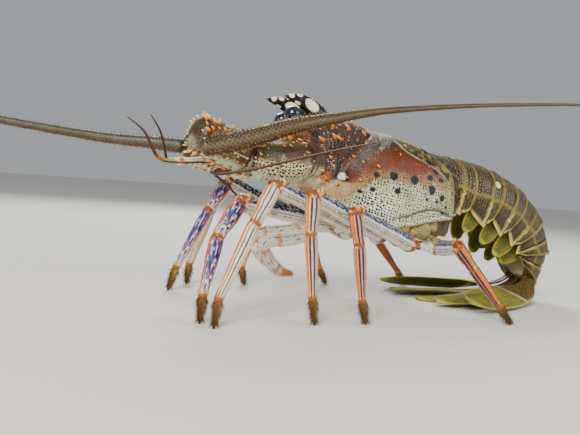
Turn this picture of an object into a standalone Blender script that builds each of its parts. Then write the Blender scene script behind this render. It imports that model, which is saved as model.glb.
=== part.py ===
"""A spiny lobster at life size, standing with its tail tucked under.

The head points along -X and the left side along -Y. Every length is in metres,
and the places of joints are given in millimetres, measured from a point on the
floor below the middle of the carapace.
"""

import math
import random

import bmesh
import bpy
from mathutils import Matrix, Quaternion, Vector

# Driving sizes
MM = 0.001
GAP = 0.0003
CARAPACE_LENGTH = 103 * MM
TRUNK_FRONT = Vector((-56, 0, 86)) * MM
TRUNK_PITCH = math.radians(6)
SIDES = {"left": -1, "right": 1}

# Shape of the carapace at stations behind its front edge: place, top, lower edge and half width, in mm
CARAPACE_STATIONS = (
    (0, 25, -7, 20), (3, 29, -11, 23), (9, 31.5, -15, 26), (18, 33, -20, 29),
    (28, 33, -24, 30.5), (36, 32, -27, 31.5), (42, 31, -29, 32.2), (46, 29.6, -30, 32.6),
    (50, 28.8, -31, 33), (54, 29.4, -31.6, 33.5), (60, 29.6, -32.5, 34), (68, 29.2, -33.6, 34.5),
    (76, 28.6, -34, 34.5), (84, 28, -33.6, 34.2), (90, 27.4, -33, 33.8), (96, 27, -32, 33),
    (100, 26.6, -31, 32.4), (103, 25.4, -29.5, 31),
)
CARAPACE_WAIST = -5 * MM
UNDERSIDE_RISE = 12 * MM
UNDERSIDE_SLOPE = 0.4
SIDE_FULLNESS = 0.92
BACK_FULLNESS = 0.86
HIND_CORNER = 3 * MM

# Colours of the materials: red, green, blue and roughness
COLOURS = {
    "carapace": (0.45, 0.22, 0.10, 0.45),
    "belly": (0.80, 0.72, 0.55, 0.55),
    "horn": (0.05, 0.04, 0.04, 0.35),
    "eye": (0.02, 0.02, 0.03, 0.15),
    "antenna": (0.35, 0.25, 0.14, 0.5),
    "leg": (0.72, 0.50, 0.32, 0.4),
    "abdomen": (0.20, 0.17, 0.05, 0.45),
    "tail_fan": (0.40, 0.34, 0.05, 0.45),
}

for old in list(bpy.data.objects):
    bpy.data.objects.remove(old)

collection = bpy.data.collections.new("spiny_lobster")
bpy.context.scene.collection.children.link(collection)
trunk_place = Matrix.Translation(TRUNK_FRONT) @ Matrix.Rotation(TRUNK_PITCH, 4, "Y")


def material(name):
    found = bpy.data.materials.get(name)
    if found:
        return found
    red, green, blue, roughness = COLOURS[name]
    made = bpy.data.materials.new(name)
    made.use_nodes = True
    shader = made.node_tree.nodes["Principled BSDF"]
    shader.inputs["Base Color"].default_value = (red, green, blue, 1)
    shader.inputs["Roughness"].default_value = roughness
    shader.inputs["Metallic"].default_value = 0
    return made


def mm(x, y, z):
    return Vector((x, y, z)) * MM


def mirrored(point, side):
    """A place given for the left side, on the side asked for."""
    return Vector((point.x, -SIDES[side] * point.y, point.z))


# Helpers for solids

def solid(bm, name, finish):
    """The closed mesh as an object, with its faces pointing out."""
    bmesh.ops.recalc_face_normals(bm, faces=bm.faces[:])
    mesh = bpy.data.meshes.new(name)
    bm.to_mesh(mesh)
    bm.free()
    made = bpy.data.objects.new(name, mesh)
    mesh.materials.append(material(finish))
    collection.objects.link(made)
    return made


def loft(rings):
    """A closed body through rings of equally many points, with both ends capped."""
    bm = bmesh.new()
    loops = [[bm.verts.new(point) for point in ring] for ring in rings]
    count = len(rings[0])
    for near, far in zip(loops, loops[1:]):
        for i in range(count):
            j = (i + 1) % count
            bm.faces.new((near[i], near[j], far[j], far[i]))
    for end in (loops[0], loops[-1]):
        middle = bm.verts.new(sum((vert.co for vert in end), Vector()) / count)
        for i in range(count):
            bm.faces.new((end[i], end[(i + 1) % count], middle))
    bmesh.ops.triangulate(bm, faces=bm.faces[:], quad_method="FIXED")
    return bm


def across(direction):
    """A level direction square to the one given."""
    level = Vector((0, 0, 1)).cross(direction)
    if level.length < 1e-6:
        level = Vector((0, 1, 0))
    return level.normalized()


def tube(path, radii, sides=8, grow=0.0, flat=1.0, extend=0.0):
    """A closed tube along the path. Radii are in metres, and flat squeezes it from side to side."""
    rings = []
    last = len(path) - 1
    side = None
    for i, (point, radius) in enumerate(zip(path, radii)):
        before = (path[i] - path[i - 1]).normalized() if i else (path[1] - path[0]).normalized()
        after = (path[i + 1] - path[i]).normalized() if i < last else before
        along = (before + after).normalized()
        if side is None:
            side = across(along)
        side = (side - along * side.dot(along)).normalized()
        up = along.cross(side)
        centre = point.copy()
        if i == 0:
            centre -= along * extend
        if i == last:
            centre += along * extend
        ring = []
        for k in range(sides):
            angle = math.tau * (k + 0.5) / sides
            wide = side * math.cos(angle) * (radius * flat + grow)
            ring.append(centre + wide + up * math.sin(angle) * (radius + grow))
        rings.append(ring)
    return loft(rings)


def smooth_path(points, steps):
    """Points of a smooth curve through the ones given."""
    padded = [2 * points[0] - points[1], *points, 2 * points[-1] - points[-2]]
    curve = []
    for a, b, c, d in zip(padded, padded[1:], padded[2:], padded[3:]):
        for k in range(steps):
            t = k / steps
            curve.append(0.5 * (2 * b + (c - a) * t + (2 * a - 5 * b + 4 * c - d) * t * t
                                + (3 * b - a - 3 * c + d) * t ** 3))
    curve.append(points[-1].copy())
    return curve


def blend_values(values, steps):
    """The values of a smooth path's points, evenly between the ones given."""
    spread = []
    for a, b in zip(values, values[1:]):
        spread += [a + (b - a) * k / steps for k in range(steps)]
    return [*spread, values[-1]]


def cone(root, tip, radius, sides=5, grow=0.0):
    """A spine as a bmesh: a slightly swollen cone from its root to its tip."""
    axis = tip - root
    axis = axis * (1 + 2 * grow / axis.length)
    radius = radius + grow
    turn = axis.to_track_quat("Z", "Y").to_matrix().to_4x4()
    bm = bmesh.new()
    middle = 0.55
    bmesh.ops.create_cone(
        bm, cap_ends=True, segments=sides, radius1=radius, radius2=radius * middle,
        depth=axis.length * middle, matrix=Matrix.Translation((0, 0, axis.length * middle / 2)),
    )
    top = max(bm.faces, key=lambda face: face.calc_center_median().z)
    poked = bmesh.ops.poke(bm, faces=[top])
    poked["verts"][0].co.z = axis.length
    bm.transform(Matrix.Translation(root) @ turn)
    return bm


def keep_largest(mesh):
    """Leaves only the largest closed surface of the mesh."""
    bm = bmesh.new()
    bm.from_mesh(mesh)
    bmesh.ops.remove_doubles(bm, verts=bm.verts[:], dist=2e-6)
    bmesh.ops.dissolve_degenerate(bm, edges=bm.edges[:], dist=1e-6)
    bm.verts.ensure_lookup_table()
    left = set(bm.verts)
    groups = []
    while left:
        seed = left.pop()
        group = {seed}
        front = [seed]
        while front:
            vert = front.pop()
            for edge in vert.link_edges:
                other = edge.other_vert(vert)
                if other in left:
                    left.discard(other)
                    group.add(other)
                    front.append(other)
        groups.append(group)
    largest = max(groups, key=len)
    scraps = [vert for vert in bm.verts if vert not in largest]
    bmesh.ops.delete(bm, geom=scraps, context="VERTS")
    bm.to_mesh(mesh)
    bm.free()


def combine(body, pieces, operation):
    """Unites the body with the pieces, or takes them from it, and leaves one closed body."""
    tools = bpy.data.collections.new("tools")
    bpy.context.scene.collection.children.link(tools)
    for piece in pieces:
        mesh = bpy.data.meshes.new("tool")
        bmesh.ops.recalc_face_normals(piece, faces=piece.faces[:])
        piece.to_mesh(mesh)
        piece.free()
        tools.objects.link(bpy.data.objects.new("tool", mesh))
    step = body.modifiers.new("combine", "BOOLEAN")
    step.operation = operation
    step.operand_type = "COLLECTION"
    step.collection = tools
    step.solver = "EXACT"
    graph = bpy.context.evaluated_depsgraph_get()
    mesh = bpy.data.meshes.new_from_object(body.evaluated_get(graph))
    body.modifiers.clear()
    body.data = mesh
    keep_largest(mesh)
    for tool in list(tools.objects):
        bpy.data.objects.remove(tool)
    bpy.data.collections.remove(tools)


def unite(body, pieces):
    combine(body, pieces, "UNION")


def cut_clear(body, pieces):
    combine(body, pieces, "DIFFERENCE")


def stand_on_floor(body):
    """Cuts the body level at the floor, which leaves a small flat to stand on."""
    bm = bmesh.new()
    bm.from_mesh(body.data)
    bmesh.ops.bisect_plane(
        bm, geom=bm.verts[:] + bm.edges[:] + bm.faces[:], dist=1e-7,
        plane_co=(0, 0, 0), plane_no=(0, 0, 1), clear_inner=True,
    )
    rim = [edge for edge in bm.edges if edge.is_boundary]
    if rim:
        bmesh.ops.contextual_create(bm, geom=rim)
    bmesh.ops.recalc_face_normals(bm, faces=bm.faces[:])
    bm.to_mesh(body.data)
    bm.free()


# The carapace

UPPER_STEPS = 12
LOWER_STEPS = 3
LOWER_TUCK = 0.10
INNER_SHARES = (0.78, 0.4, 0.0, -0.4, -0.78)


def between(table, place):
    """A row of the table at the place asked for, evenly between its neighbours."""
    if place <= table[0][0]:
        return table[0][1:]
    for low, high in zip(table, table[1:]):
        if place <= high[0]:
            share = (place - low[0]) / (high[0] - low[0])
            return tuple(a + (b - a) * share for a, b in zip(low[1:], high[1:]))
    return table[-1][1:]


def carapace_point(place, turn, grow=0.0):
    """A point of the shell, by its place in mm behind the front and its turn.

    The turn is 0 on the back and 1 or -1 at a lower edge.
    """
    top, low, half = (value * MM for value in between(CARAPACE_STATIONS, place))
    quarter = UPPER_STEPS / 2 / (UPPER_STEPS / 2 + LOWER_STEPS)
    side = math.copysign(1, turn)
    size = abs(turn)
    if size <= quarter:
        angle = size / quarter * math.pi / 2
        y = (half + grow) * math.sin(angle) ** SIDE_FULLNESS
        z = CARAPACE_WAIST + (top + grow - CARAPACE_WAIST) * math.cos(angle) ** BACK_FULLNESS
    else:
        drop = (size - quarter) / (1 - quarter)
        y = (half + grow) * (1 - LOWER_TUCK * drop * drop)
        z = CARAPACE_WAIST + (low - grow - CARAPACE_WAIST) * drop
    back = HIND_CORNER * (place * MM / CARAPACE_LENGTH) ** 4 * size ** 2
    return Vector((place * MM + back, side * y, z))


def hollow(place):
    """How far the underside rises between the lower edges at this place."""
    return min(UNDERSIDE_RISE, place * MM * UNDERSIDE_SLOPE)


def carapace_ring(place, grow=0.0):
    steps = UPPER_STEPS + 2 * LOWER_STEPS
    outer = [carapace_point(place, k / (steps / 2) - 1, grow) for k in range(steps + 1)]
    edge = outer[-1]
    inner = []
    for share in INNER_SHARES:
        z = edge.z + hollow(place) * (1 - share * share)
        inner.append(Vector((edge.x, share * edge.y, z)))
    return outer + inner


def carapace_body(grow=0.0):
    rings = [carapace_ring(row[0], grow) for row in CARAPACE_STATIONS]
    if grow:
        for point in rings[0]:
            point.x -= grow
        for point in rings[-1]:
            point.x += grow
    bm = loft(rings)
    bm.transform(trunk_place)
    return bm


def carapace_surface(place, turn):
    """A point of the shell and the direction straight out of it, in the world."""
    here = carapace_point(place, turn)
    along = carapace_point(place + 1, turn) - carapace_point(place - 1, turn)
    round_about = carapace_point(place, turn + 0.02) - carapace_point(place, turn - 0.02)
    out = along.cross(round_about).normalized()
    if out.z * (1 if abs(turn) < 0.4 else 0) < 0 or out.y * turn < 0:
        out = -out
    return trunk_place @ here, trunk_place.to_3x3() @ out


# Rows of spines on one half of the carapace: turn from the top, then place and length in mm for each spine
SPINE_ROWS = (
    (0.0, ((24, 3.5), (35, 3.5), (62, 2.0), (80, 1.8))),
    (0.14, ((17, 5.5), (29, 4.5), (41, 3.6), (58, 2.4), (70, 2.2))),
    (0.27, ((12, 6.0), (23, 5.0), (34, 4.2), (45, 3.8), (64, 2.2), (78, 2.0))),
    (0.41, ((5, 6.0), (10, 6.0), (16, 5.5), (31, 3.8), (42, 3.4), (57, 2.2))),
    (0.54, ((8, 4.4), (22, 3.2), (30, 3.2), (40, 3.6))),
    (0.65, ((5, 6.0), (20, 3.0), (29, 2.8))),
    (0.78, ((8, 2.4), (14, 2.4))),
)
SPINE_SINK = 1.8 * MM
SPINE_RISE = 0.8
SPINE_BASE = 0.5 * MM
SPINE_TAPER = 0.3
SPINE_LEAN = 0.75
FRONT_LEAN = 0.15
FRONT_ZONE = 10


def carapace_spines():
    """Forward leaning spines in rows on both halves."""
    rng = random.Random(5)
    spines = []
    for turn, row in SPINE_ROWS:
        for side in ((-1, 1) if turn else (1,)):
            for place, length in row:
                shift = rng.uniform(-1.2, 1.2)
                point, out = carapace_surface(place + shift, side * (turn + rng.uniform(-0.015, 0.015)))
                ahead = trunk_place.to_3x3() @ Vector((-1, 0, 0))
                reach = length * rng.uniform(0.9, 1.15) * MM
                lean = SPINE_LEAN if place > FRONT_ZONE else FRONT_LEAN
                tip = point + (out * SPINE_RISE + ahead * lean) * reach
                root = point - out * SPINE_SINK - ahead * reach * 0.1
                spines.append(cone(root, tip, SPINE_BASE + reach * SPINE_TAPER))
    return spines


carapace = solid(carapace_body(), "carapace", "carapace")
unite(carapace, carapace_spines())

# The underside with the sockets of the legs

# Place behind the front, half width, top and drop of each section, in mm
STERNUM_STATIONS = (
    (10, 9, -10, 11), (24, 12, -10, 8), (44, 15, -10, 6), (66, 17, -10, 5), (86, 18, -10, 5), (97, 16, -9, 6),
)
STERNUM_SINK = 8


def sternum_body(grow=0.0):
    rings = []
    for place, half, top, drop in STERNUM_STATIONS:
        _, low, _ = between(CARAPACE_STATIONS, place)
        base = low + hollow(place) / MM
        high = base - top * 0.2
        deep = base - drop - STERNUM_SINK
        ring = []
        for k in range(10):
            angle = math.tau * (k + 0.5) / 10
            y = (half * MM + grow) * math.sin(angle)
            z = (high + deep) / 2 * MM + ((high - deep) / 2 * MM + grow) * math.cos(angle)
            ring.append(Vector((place * MM, y, z)))
        rings.append(ring)
    for ring, sign in ((rings[0], -1), (rings[-1], 1)):
        for point in ring:
            point.x += sign * grow
    bm = loft(rings)
    bm.transform(trunk_place)
    return bm


sternum = solid(sternum_body(), "sternum", "belly")
cut_clear(sternum, [carapace_body(GAP)])

# The face: the plate between the feelers, with the fused first pieces of the antennae below it

FACE_STATIONS = ((2, 22, -10, 22), (-4, 22, -9, 21), (-9, 17, -8, 18), (-13, 9, -7, 13))
# Spines between the eyes on one half: place, height, distance to the side and length, in mm
FACE_SPINES = ((-9, 14, 4.5, 8.0), (-8, 9.5, 9.5, 4.5))
FACE_SPINE_WAY = (-0.77, 0.12, 0.62)
JAW_PLACE = mm(-3, 5.5, -12)
JAW_RADIUS = 6 * MM
ANTENNA_ROOT = mm(-58, -20, 89)
ANTENNA_ROOT_RADIUS = 11.5 * MM


def face_body(grow=0.0):
    rings = []
    for place, top, low, half in FACE_STATIONS:
        ring = []
        for k in range(14):
            angle = math.tau * (k + 0.5) / 14
            middle = (top + low) / 2 * MM
            ring.append(Vector((place * MM - grow, (half * MM + grow) * math.sin(angle),
                                middle + ((top - low) / 2 * MM + grow) * math.cos(angle))))
        rings.append(ring)
    bm = loft(rings)
    bm.transform(trunk_place)
    return bm


def antenna_root(side, grow=0.0):
    start = mirrored(ANTENNA_ROOT + mm(1, 3, 0), side)
    end = mirrored(ANTENNA_ROOT + mm(-5, 0, 0), side)
    return tube([start, end], [ANTENNA_ROOT_RADIUS * 0.9, ANTENNA_ROOT_RADIUS], 10, grow, extend=grow)


def face_spines(side):
    spines = []
    for place, height, away, length in FACE_SPINES:
        root = mirrored(mm(place, -away, height), side)
        way = mirrored(Vector((FACE_SPINE_WAY[0], -FACE_SPINE_WAY[1], FACE_SPINE_WAY[2])), side)
        radius = SPINE_BASE + length * SPINE_TAPER * MM
        spine = cone(root - way * SPINE_SINK, root + way * length * MM, radius)
        spine.transform(trunk_place)
        spines.append(spine)
    return spines


def jaw(side):
    """One of the two hard pads that close over the mouth."""
    bm = bmesh.new()
    centre = mirrored(Vector((JAW_PLACE.x, -JAW_PLACE.y, JAW_PLACE.z)), side)
    bmesh.ops.create_uvsphere(bm, u_segments=10, v_segments=6, radius=JAW_RADIUS,
                              matrix=trunk_place @ Matrix.Translation(centre))
    return bm


face = solid(face_body(), "face", "carapace")
unite(face, [piece for side in SIDES for piece in (antenna_root(side), jaw(side), *face_spines(side))])
cut_clear(face, [carapace_body(GAP)])

# The horns over the eyes, and the eyes

HORN_ROUTE = (
    mm(-43, -10, 110), mm(-50, -11, 117), mm(-58, -12, 122.5), mm(-66, -12.6, 125.5), mm(-75, -12.6, 126.5),
)
HORN_FLAT = 0.72
HORN_RADII = (6.5, 6.2, 4.9, 3.2, 0.4)
EYE_CENTRES = {"left": mm(-69, -13, 116), "right": mm(-63, 13, 114)}
EYE_RADIUS = 5.2 * MM
STALK_RADIUS = 3.4 * MM
STALK_ROOT = mm(-60, -10.5, 104)


def horn_body(side, grow=0.0):
    path = smooth_path([mirrored(point, side) for point in HORN_ROUTE], 2)
    radii = blend_values([radius * MM for radius in HORN_RADII], 2)
    return tube(path, radii, 10, grow, flat=HORN_FLAT)


def eye_body(side):
    centre = EYE_CENTRES[side]
    root = mirrored(STALK_ROOT, side)
    bm = bmesh.new()
    bmesh.ops.create_uvsphere(bm, u_segments=10, v_segments=7, radius=EYE_RADIUS,
                              matrix=Matrix.Translation(centre) @ Matrix.Diagonal((0.92, 1.0, 1.0, 1)))
    stalk = tube([root, centre], [STALK_RADIUS * 1.25, STALK_RADIUS], 8)
    return bm, stalk


for side in SIDES:
    horn = solid(horn_body(side), f"horn_{side}", "horn")
    cut_clear(horn, [carapace_body(GAP), face_body(GAP)])
    ball, stalk = eye_body(side)
    eye = solid(ball, f"eye_{side}", "eye")
    unite(eye, [stalk])
    cut_clear(eye, [carapace_body(GAP), face_body(GAP), horn_body(side, GAP)])

# The antennae: two free articles each, then a flagellum in two lengths

ANTENNA_JOINTS = {
    "left": (mm(-63, -20.5, 89), mm(-81, -23.5, 86), mm(-104, -26, 88.5), mm(-134, -29, 98)),
    "right": (mm(-63, 20.5, 89), mm(-79, 23, 86), mm(-97, 25, 88), mm(-120, 29, 93)),
}
ARTICLE_RADII = ((11, 12, 11.2, 10.6), (10.2, 10.8, 10.6, 9.6))
FLAGELLUM_ROUTES = {
    "left": (mm(-131, -37, 90.5), mm(-118, -41, 94), mm(-103, -44, 99), mm(-87, -46, 105),
             mm(-62, -46, 112), mm(-23, -44, 121), mm(39, -40, 131), mm(100, -35, 139),
             mm(160, -29, 146), mm(215, -22, 151)),
    "right": (mm(-124, 29.5, 93), mm(-140, 38, 94), mm(-169, 49, 95), mm(-230, 64, 101), mm(-295, 78, 110),
              mm(-360, 91, 121), mm(-425, 103, 134)),
}
FLAGELLUM_RADII = {
    "left": (5.2, 5.4, 5.0, 4.5, 3.3, 2.0, 1.35, 1.05, 0.8, 0.4),
    "right": (4.6, 3.9, 3.2, 2.3, 1.6, 1.1, 0.5),
}
FLAGELLUM_SPLIT = {"left": 5, "right": 3}


def article(side, number, grow=0.0):
    """The free article of the antenna with this number, 0 nearest the face."""
    joints = ANTENNA_JOINTS[side]
    start, end = (joints[0], joints[2]) if number == 0 else (joints[2], joints[3])
    middle = joints[1] if number == 0 else start.lerp(end, 0.5)
    path = [start, start.lerp(middle, 0.5), middle, end]
    if number == 1:
        path = [start, start.lerp(end, 0.25), start.lerp(end, 0.6), end]
    return tube(path, [radius * MM for radius in ARTICLE_RADII[number]], 11, grow, extend=grow)


def flagellum(side, part, grow=0.0):
    """The near (0) or far (1) length of a flagellum."""
    route = FLAGELLUM_ROUTES[side]
    radii = FLAGELLUM_RADII[side]
    split = FLAGELLUM_SPLIT[side]
    route, radii = (route[:split + 1], radii[:split + 1]) if part == 0 else (route[split:], radii[split:])
    path = smooth_path(list(route), 3)
    width = blend_values([radius * MM for radius in radii], 3)
    if part == 1:
        path[0] = path[0] + (path[1] - path[0]).normalized() * GAP
    return tube(path, width, 8, grow)


def beside_flagellum(side, place, room):
    """Whether the place lies within the flagellum's near length or less than the room from it."""
    route = smooth_path(list(FLAGELLUM_ROUTES[side]), 3)
    radii = blend_values([radius * MM for radius in FLAGELLUM_RADII[side]], 3)
    return any((place - point).length < radius + room for point, radius in zip(route, radii))


# Rings of spines on each article: share of its length, how many, and their length in mm
ARTICLE_RINGS = (((0.3, 3, 3.5), (0.9, 7, 6.0)), ((0.35, 4, 4.0), (0.62, 5, 5.0), (0.92, 9, 6.5)))
ARTICLE_SINK = 2.4 * MM
ARTICLE_LEAN = 0.7


def article_spines(side, number, grow=0.0):
    """Spines in rings round an article, stronger at its far end, all leaning forward."""
    rng = random.Random(10 * number + SIDES[side])
    joints = ANTENNA_JOINTS[side]
    start, end = (joints[0], joints[2]) if number == 0 else (joints[2], joints[3])
    along = (end - start).normalized()
    wide = across(along)
    up = along.cross(wide)
    radius = ARTICLE_RADII[number][2] * MM
    spines = []
    for share, count, length in ARTICLE_RINGS[number]:
        for k in range(count):
            angle = math.tau * (k + rng.uniform(-0.2, 0.2)) / count + share * 3
            out = wide * math.cos(angle) + up * math.sin(angle)
            root = start.lerp(end, share) + out * (radius - ARTICLE_SINK)
            reach = length * rng.uniform(0.8, 1.2) * MM
            tip = root + out * (ARTICLE_SINK + reach * SPINE_RISE) + along * reach * ARTICLE_LEAN
            base = SPINE_BASE + reach * SPINE_TAPER
            if not any(beside_flagellum(side, root.lerp(tip, part), base + GAP) for part in (0.5, 1.0)):
                spines.append(cone(root, tip, base, grow=grow))
    return spines


for side in SIDES:
    first = solid(article(side, 0), f"antenna_{side}_base", "antenna")
    unite(first, article_spines(side, 0))
    cut_clear(first, [antenna_root(side, GAP), face_body(GAP), carapace_body(GAP)])
    second = solid(article(side, 1), f"antenna_{side}_tip", "antenna")
    unite(second, article_spines(side, 1))
    cut_clear(second, [article(side, 0, GAP), *article_spines(side, 0, GAP)])
    near = solid(flagellum(side, 0), f"flagellum_{side}_near", "antenna")
    cut_clear(near, [article(side, 1, GAP), article(side, 0, GAP), *article_spines(side, 1, GAP)])
    far = solid(flagellum(side, 1), f"flagellum_{side}_far", "antenna")

# The antennules: a jointed stalk each, ending in two thin branches

ANTENNULE_STALKS = {
    "left": (mm(-66, -5, 92), mm(-98, -6.5, 87), mm(-135, -9, 83), mm(-149, -10.5, 84), mm(-158, -12, 97),
             mm(-168, -13, 104)),
    "right": (mm(-66, 5, 92), mm(-90, 5, 85), mm(-108, 1, 79), mm(-116, -8, 77.5), mm(-116, -24, 77),
              mm(-106, -38, 80), mm(-90, -43, 85), mm(-70, -45, 91), mm(-48, -46, 97), mm(-28, -46, 102)),
}
ANTENNULE_RADII = {
    "left": (2.4, 2.0, 1.7, 1.3, 0.9, 0.4),
    "right": (2.4, 2.2, 2.2, 1.4, 1.0, 0.9, 0.85, 0.8, 0.65, 0.35),
}
ANTENNULE_BRANCHES = {
    "left": (mm(-144, -9.6, 83.2), mm(-147, -13.5, 90), mm(-151, -17.5, 98), mm(-157, -19, 106)),
    "right": (mm(-110.5, 1.5, 76.4), mm(-106, -4, 72), mm(-101, -9, 66), mm(-95, -14, 57),
              mm(-88, -20, 46)),
}
BRANCH_RADII = (1.0, 0.85, 0.7, 0.35)


def antennule(side):
    path = smooth_path(list(ANTENNULE_STALKS[side]), 3)
    return tube(path, blend_values([radius * MM for radius in ANTENNULE_RADII[side]], 3), 6)


def antennule_branch(side):
    route = list(ANTENNULE_BRANCHES[side])
    radii = [radius * MM for radius in BRANCH_RADII]
    radii = [radii[0]] * (len(route) - len(radii)) + radii
    return tube(smooth_path(route, 3), blend_values(radii, 3), 6)


for side in SIDES:
    stalk = solid(antennule(side), f"antennule_{side}", "leg")
    if side == "left":
        unite(stalk, [antennule_branch(side)])
    cut_clear(stalk, [face_body(GAP), carapace_body(GAP)])
branch = solid(antennule_branch("right"), "antennule_right_branch", "leg")
right_stalk = tube(smooth_path(list(ANTENNULE_STALKS["right"]), 3),
                   blend_values([radius * MM for radius in ANTENNULE_RADII["right"]], 3), 6, GAP)
cut_clear(branch, [right_stalk])

# The mouth's third pair of legs, folded under the head

MAXILLIPEDS = {
    "left": (mm(-40, -6, 57), mm(-50, -11, 45), mm(-66, -15, 41), mm(-82, -16, 38.5), mm(-80, -15, 30),
             mm(-72, -13, 22), mm(-60, -10, 19)),
    "right": (mm(-40, 6, 57), mm(-49, 11, 46), mm(-62, 14, 43), mm(-76, 14, 41), mm(-76, 12, 33),
              mm(-69, 11, 25), mm(-59, 9, 21)),
}
MAXILLIPED_FLAT = 0.75
MAXILLIPED_RADII = (3.4, 4.0, 4.4, 3.9, 3.4, 3.0, 1.0)


def maxilliped(side):
    path = smooth_path(list(MAXILLIPEDS[side]), 2)
    return tube(path, blend_values([radius * MM for radius in MAXILLIPED_RADII], 2), 8, flat=MAXILLIPED_FLAT)


maxillipeds = {}
for side in SIDES:
    limb = solid(maxilliped(side), f"maxilliped_{side}", "leg")
    cut_clear(limb, [carapace_body(GAP), sternum_body(GAP), face_body(GAP)])
    maxillipeds[side] = limb

# The ten walking legs: where each leaves the underside, then its joints down to the toe

# Elbow, knee, wrist, ankle and toe of each leg
LEG_JOINTS = {
    ("left", 1): (
        mm(-48, -31, 53), mm(-113, -46, 62), mm(-127, -52, 44), mm(-135, -57, 14), mm(-137, -60, -1),
    ),
    ("left", 2): (
        mm(-34, -35, 51), mm(-97, -54, 72), mm(-111, -62, 52), mm(-131, -69, 14), mm(-134, -72, -1),
    ),
    ("left", 3): (
        mm(-16, -38, 47), mm(-77, -61, 68), mm(-80, -67, 48), mm(-78, -70, 14), mm(-76, -71, -1),
    ),
    ("left", 4): (
        mm(5, -40, 42), mm(-51, -63, 60), mm(-50, -68, 43), mm(-48, -72, 13), mm(-45, -73, -1),
    ),
    ("left", 5): (
        mm(30, -37, 40), mm(23, -64, 43), mm(30, -69, 32), mm(43, -81, 10), mm(49, -86, -1),
    ),
    ("right", 1): (
        mm(-48, 31, 54), mm(-82, 46, 73), mm(-95, 47, 54), mm(-116, 46, 15), mm(-121, 46, -1),
    ),
    ("right", 2): (
        mm(-34, 35, 52), mm(-80, 62, 71), mm(-88, 67, 50), mm(-98, 72, 14), mm(-99, 73, -1),
    ),
    ("right", 3): (
        mm(-16, 38, 47), mm(-49, 62, 62), mm(-54, 65, 43), mm(-61, 67, 13), mm(-57, 68, -1),
    ),
    ("right", 4): (
        mm(5, 40, 42), mm(-16, 63, 56), mm(-9, 67, 39), mm(5, 71, 12), mm(14, 75, -1),
    ),
    ("right", 5): (
        mm(30, 37, 40), mm(38, 60, 50), mm(50, 64, 36), mm(76, 70, 11), mm(86, 73, -1),
    ),
}
LEG_ROOTS = {1: (20, 12.5), 2: (35, 14.5), 3: (51, 16), 4: (67, 16.5), 5: (83, 16)}
ROOT_HEIGHT = -10 * MM
UPPER_RADII = (6.6, 6.2, 5.0, 5.6, 5.2, 4.4, 5.0)
LOWER_RADII = (4.0, 4.4, 3.7, 4.1, 3.6, 3.0, 2.7, 2.0, 0.9)
LEG_FLAT = 0.85


def leg_root(side, number):
    place, half = LEG_ROOTS[number]
    _, low, _ = between(CARAPACE_STATIONS, place)
    drop = low * MM + hollow(place) + ROOT_HEIGHT
    root = trunk_place @ Vector((place * MM, SIDES[side] * half * MM, drop))
    return root


def leg_upper(side, number, grow=0.0):
    elbow, knee = LEG_JOINTS[side, number][:2]
    root = leg_root(side, number)
    inside = root + (root - elbow) * 0.35
    path = [inside, root.lerp(elbow, 0.35), elbow.lerp(root, 0.12), elbow.lerp(knee, 0.12)]
    path += [elbow.lerp(knee, 0.5), elbow.lerp(knee, 0.86), knee]
    return tube(path, [radius * MM for radius in UPPER_RADII], 8, grow, flat=LEG_FLAT, extend=grow)


def leg_lower(side, number):
    _, knee, wrist, ankle, toe = LEG_JOINTS[side, number]
    path = [knee.lerp(wrist, 0.02), knee.lerp(wrist, 0.4), wrist.lerp(knee, 0.06), wrist.lerp(ankle, 0.12)]
    path += [wrist.lerp(ankle, 0.55), ankle.lerp(wrist, 0.08)]
    path += [ankle.lerp(toe, 0.15), ankle.lerp(toe, 0.55), toe]
    return tube(path, [radius * MM for radius in LOWER_RADII], 8, flat=LEG_FLAT)


# Spines on the merus: share of its length, lean to the side and length in mm
KNEE_SPINES = ((0.93, 0.5, 4.2), (0.93, -0.5, 3.8), (0.72, 0.0, 3.0))
KNEE_SPINE_START = 2.6 * MM
KNEE_SPINE_RADIUS = 1.5 * MM


def knee_spines(side, number):
    """Two spines on top of the merus at its far end and one before them."""
    elbow, knee = LEG_JOINTS[side, number][:2]
    along = (knee - elbow).normalized()
    wide = across(along)
    up = along.cross(wide)
    if up.z < 0:
        up = -up
    spines = []
    for share, lean, length in KNEE_SPINES:
        out = (up + wide * lean).normalized()
        root = elbow.lerp(knee, share) + out * KNEE_SPINE_START
        tip = root + out * (2 + length * 0.7) * MM + along * length * 0.8 * MM
        spines.append(cone(root, tip, KNEE_SPINE_RADIUS))
    return spines


for side, number in LEG_JOINTS:
    upper = solid(leg_upper(side, number), f"leg_{side}_{number}_upper", "leg")
    unite(upper, knee_spines(side, number))
    neighbours = [leg_upper(side, number - 1, GAP)] if number > 1 else []
    cut_clear(upper, [carapace_body(GAP), sternum_body(GAP), *neighbours])
    lower = solid(leg_lower(side, number), f"leg_{side}_{number}_lower", "leg")
    cut_clear(lower, [leg_upper(side, number, GAP)])
    stand_on_floor(lower)
for side, limb in maxillipeds.items():
    cut_clear(limb, [leg_upper(side, 1, GAP)])

# The tail: six segments curled down and under, each a wedge between two planes

TAIL_START = mm(49.5, 0, 100.6)
SEGMENTS = ((20, -5, 27.5), (26, -12, 29), (27, -24, 28.5), (28, -40, 27), (30, -64, 25), (30, -108, 22.5))
PLANE_TILTS = (-6, -8, -17, -31, -51, -84, -135)
# Sections along each segment: share of its length, size, and how far its side flaps hang down
SEGMENT_RINGS = (
    (0.0, 0.955, 0.60), (0.12, 0.99, 0.76), (0.42, 1.0, 0.94), (0.5, 0.972, 0.99),
    (0.6, 1.0, 1.03), (0.68, 1.0, 1.04), (0.8, 1.0, 0.84), (1.0, 1.02, 0.66),
)
BACK_DEPTH = 22 * MM
PLEURON_DEPTH = 43 * MM
FIRST_SINK = 3 * MM
TAIL_TAPER = (0.80, 0.97, 1.0, 0.98, 0.94, 0.86, 0.70)


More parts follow.
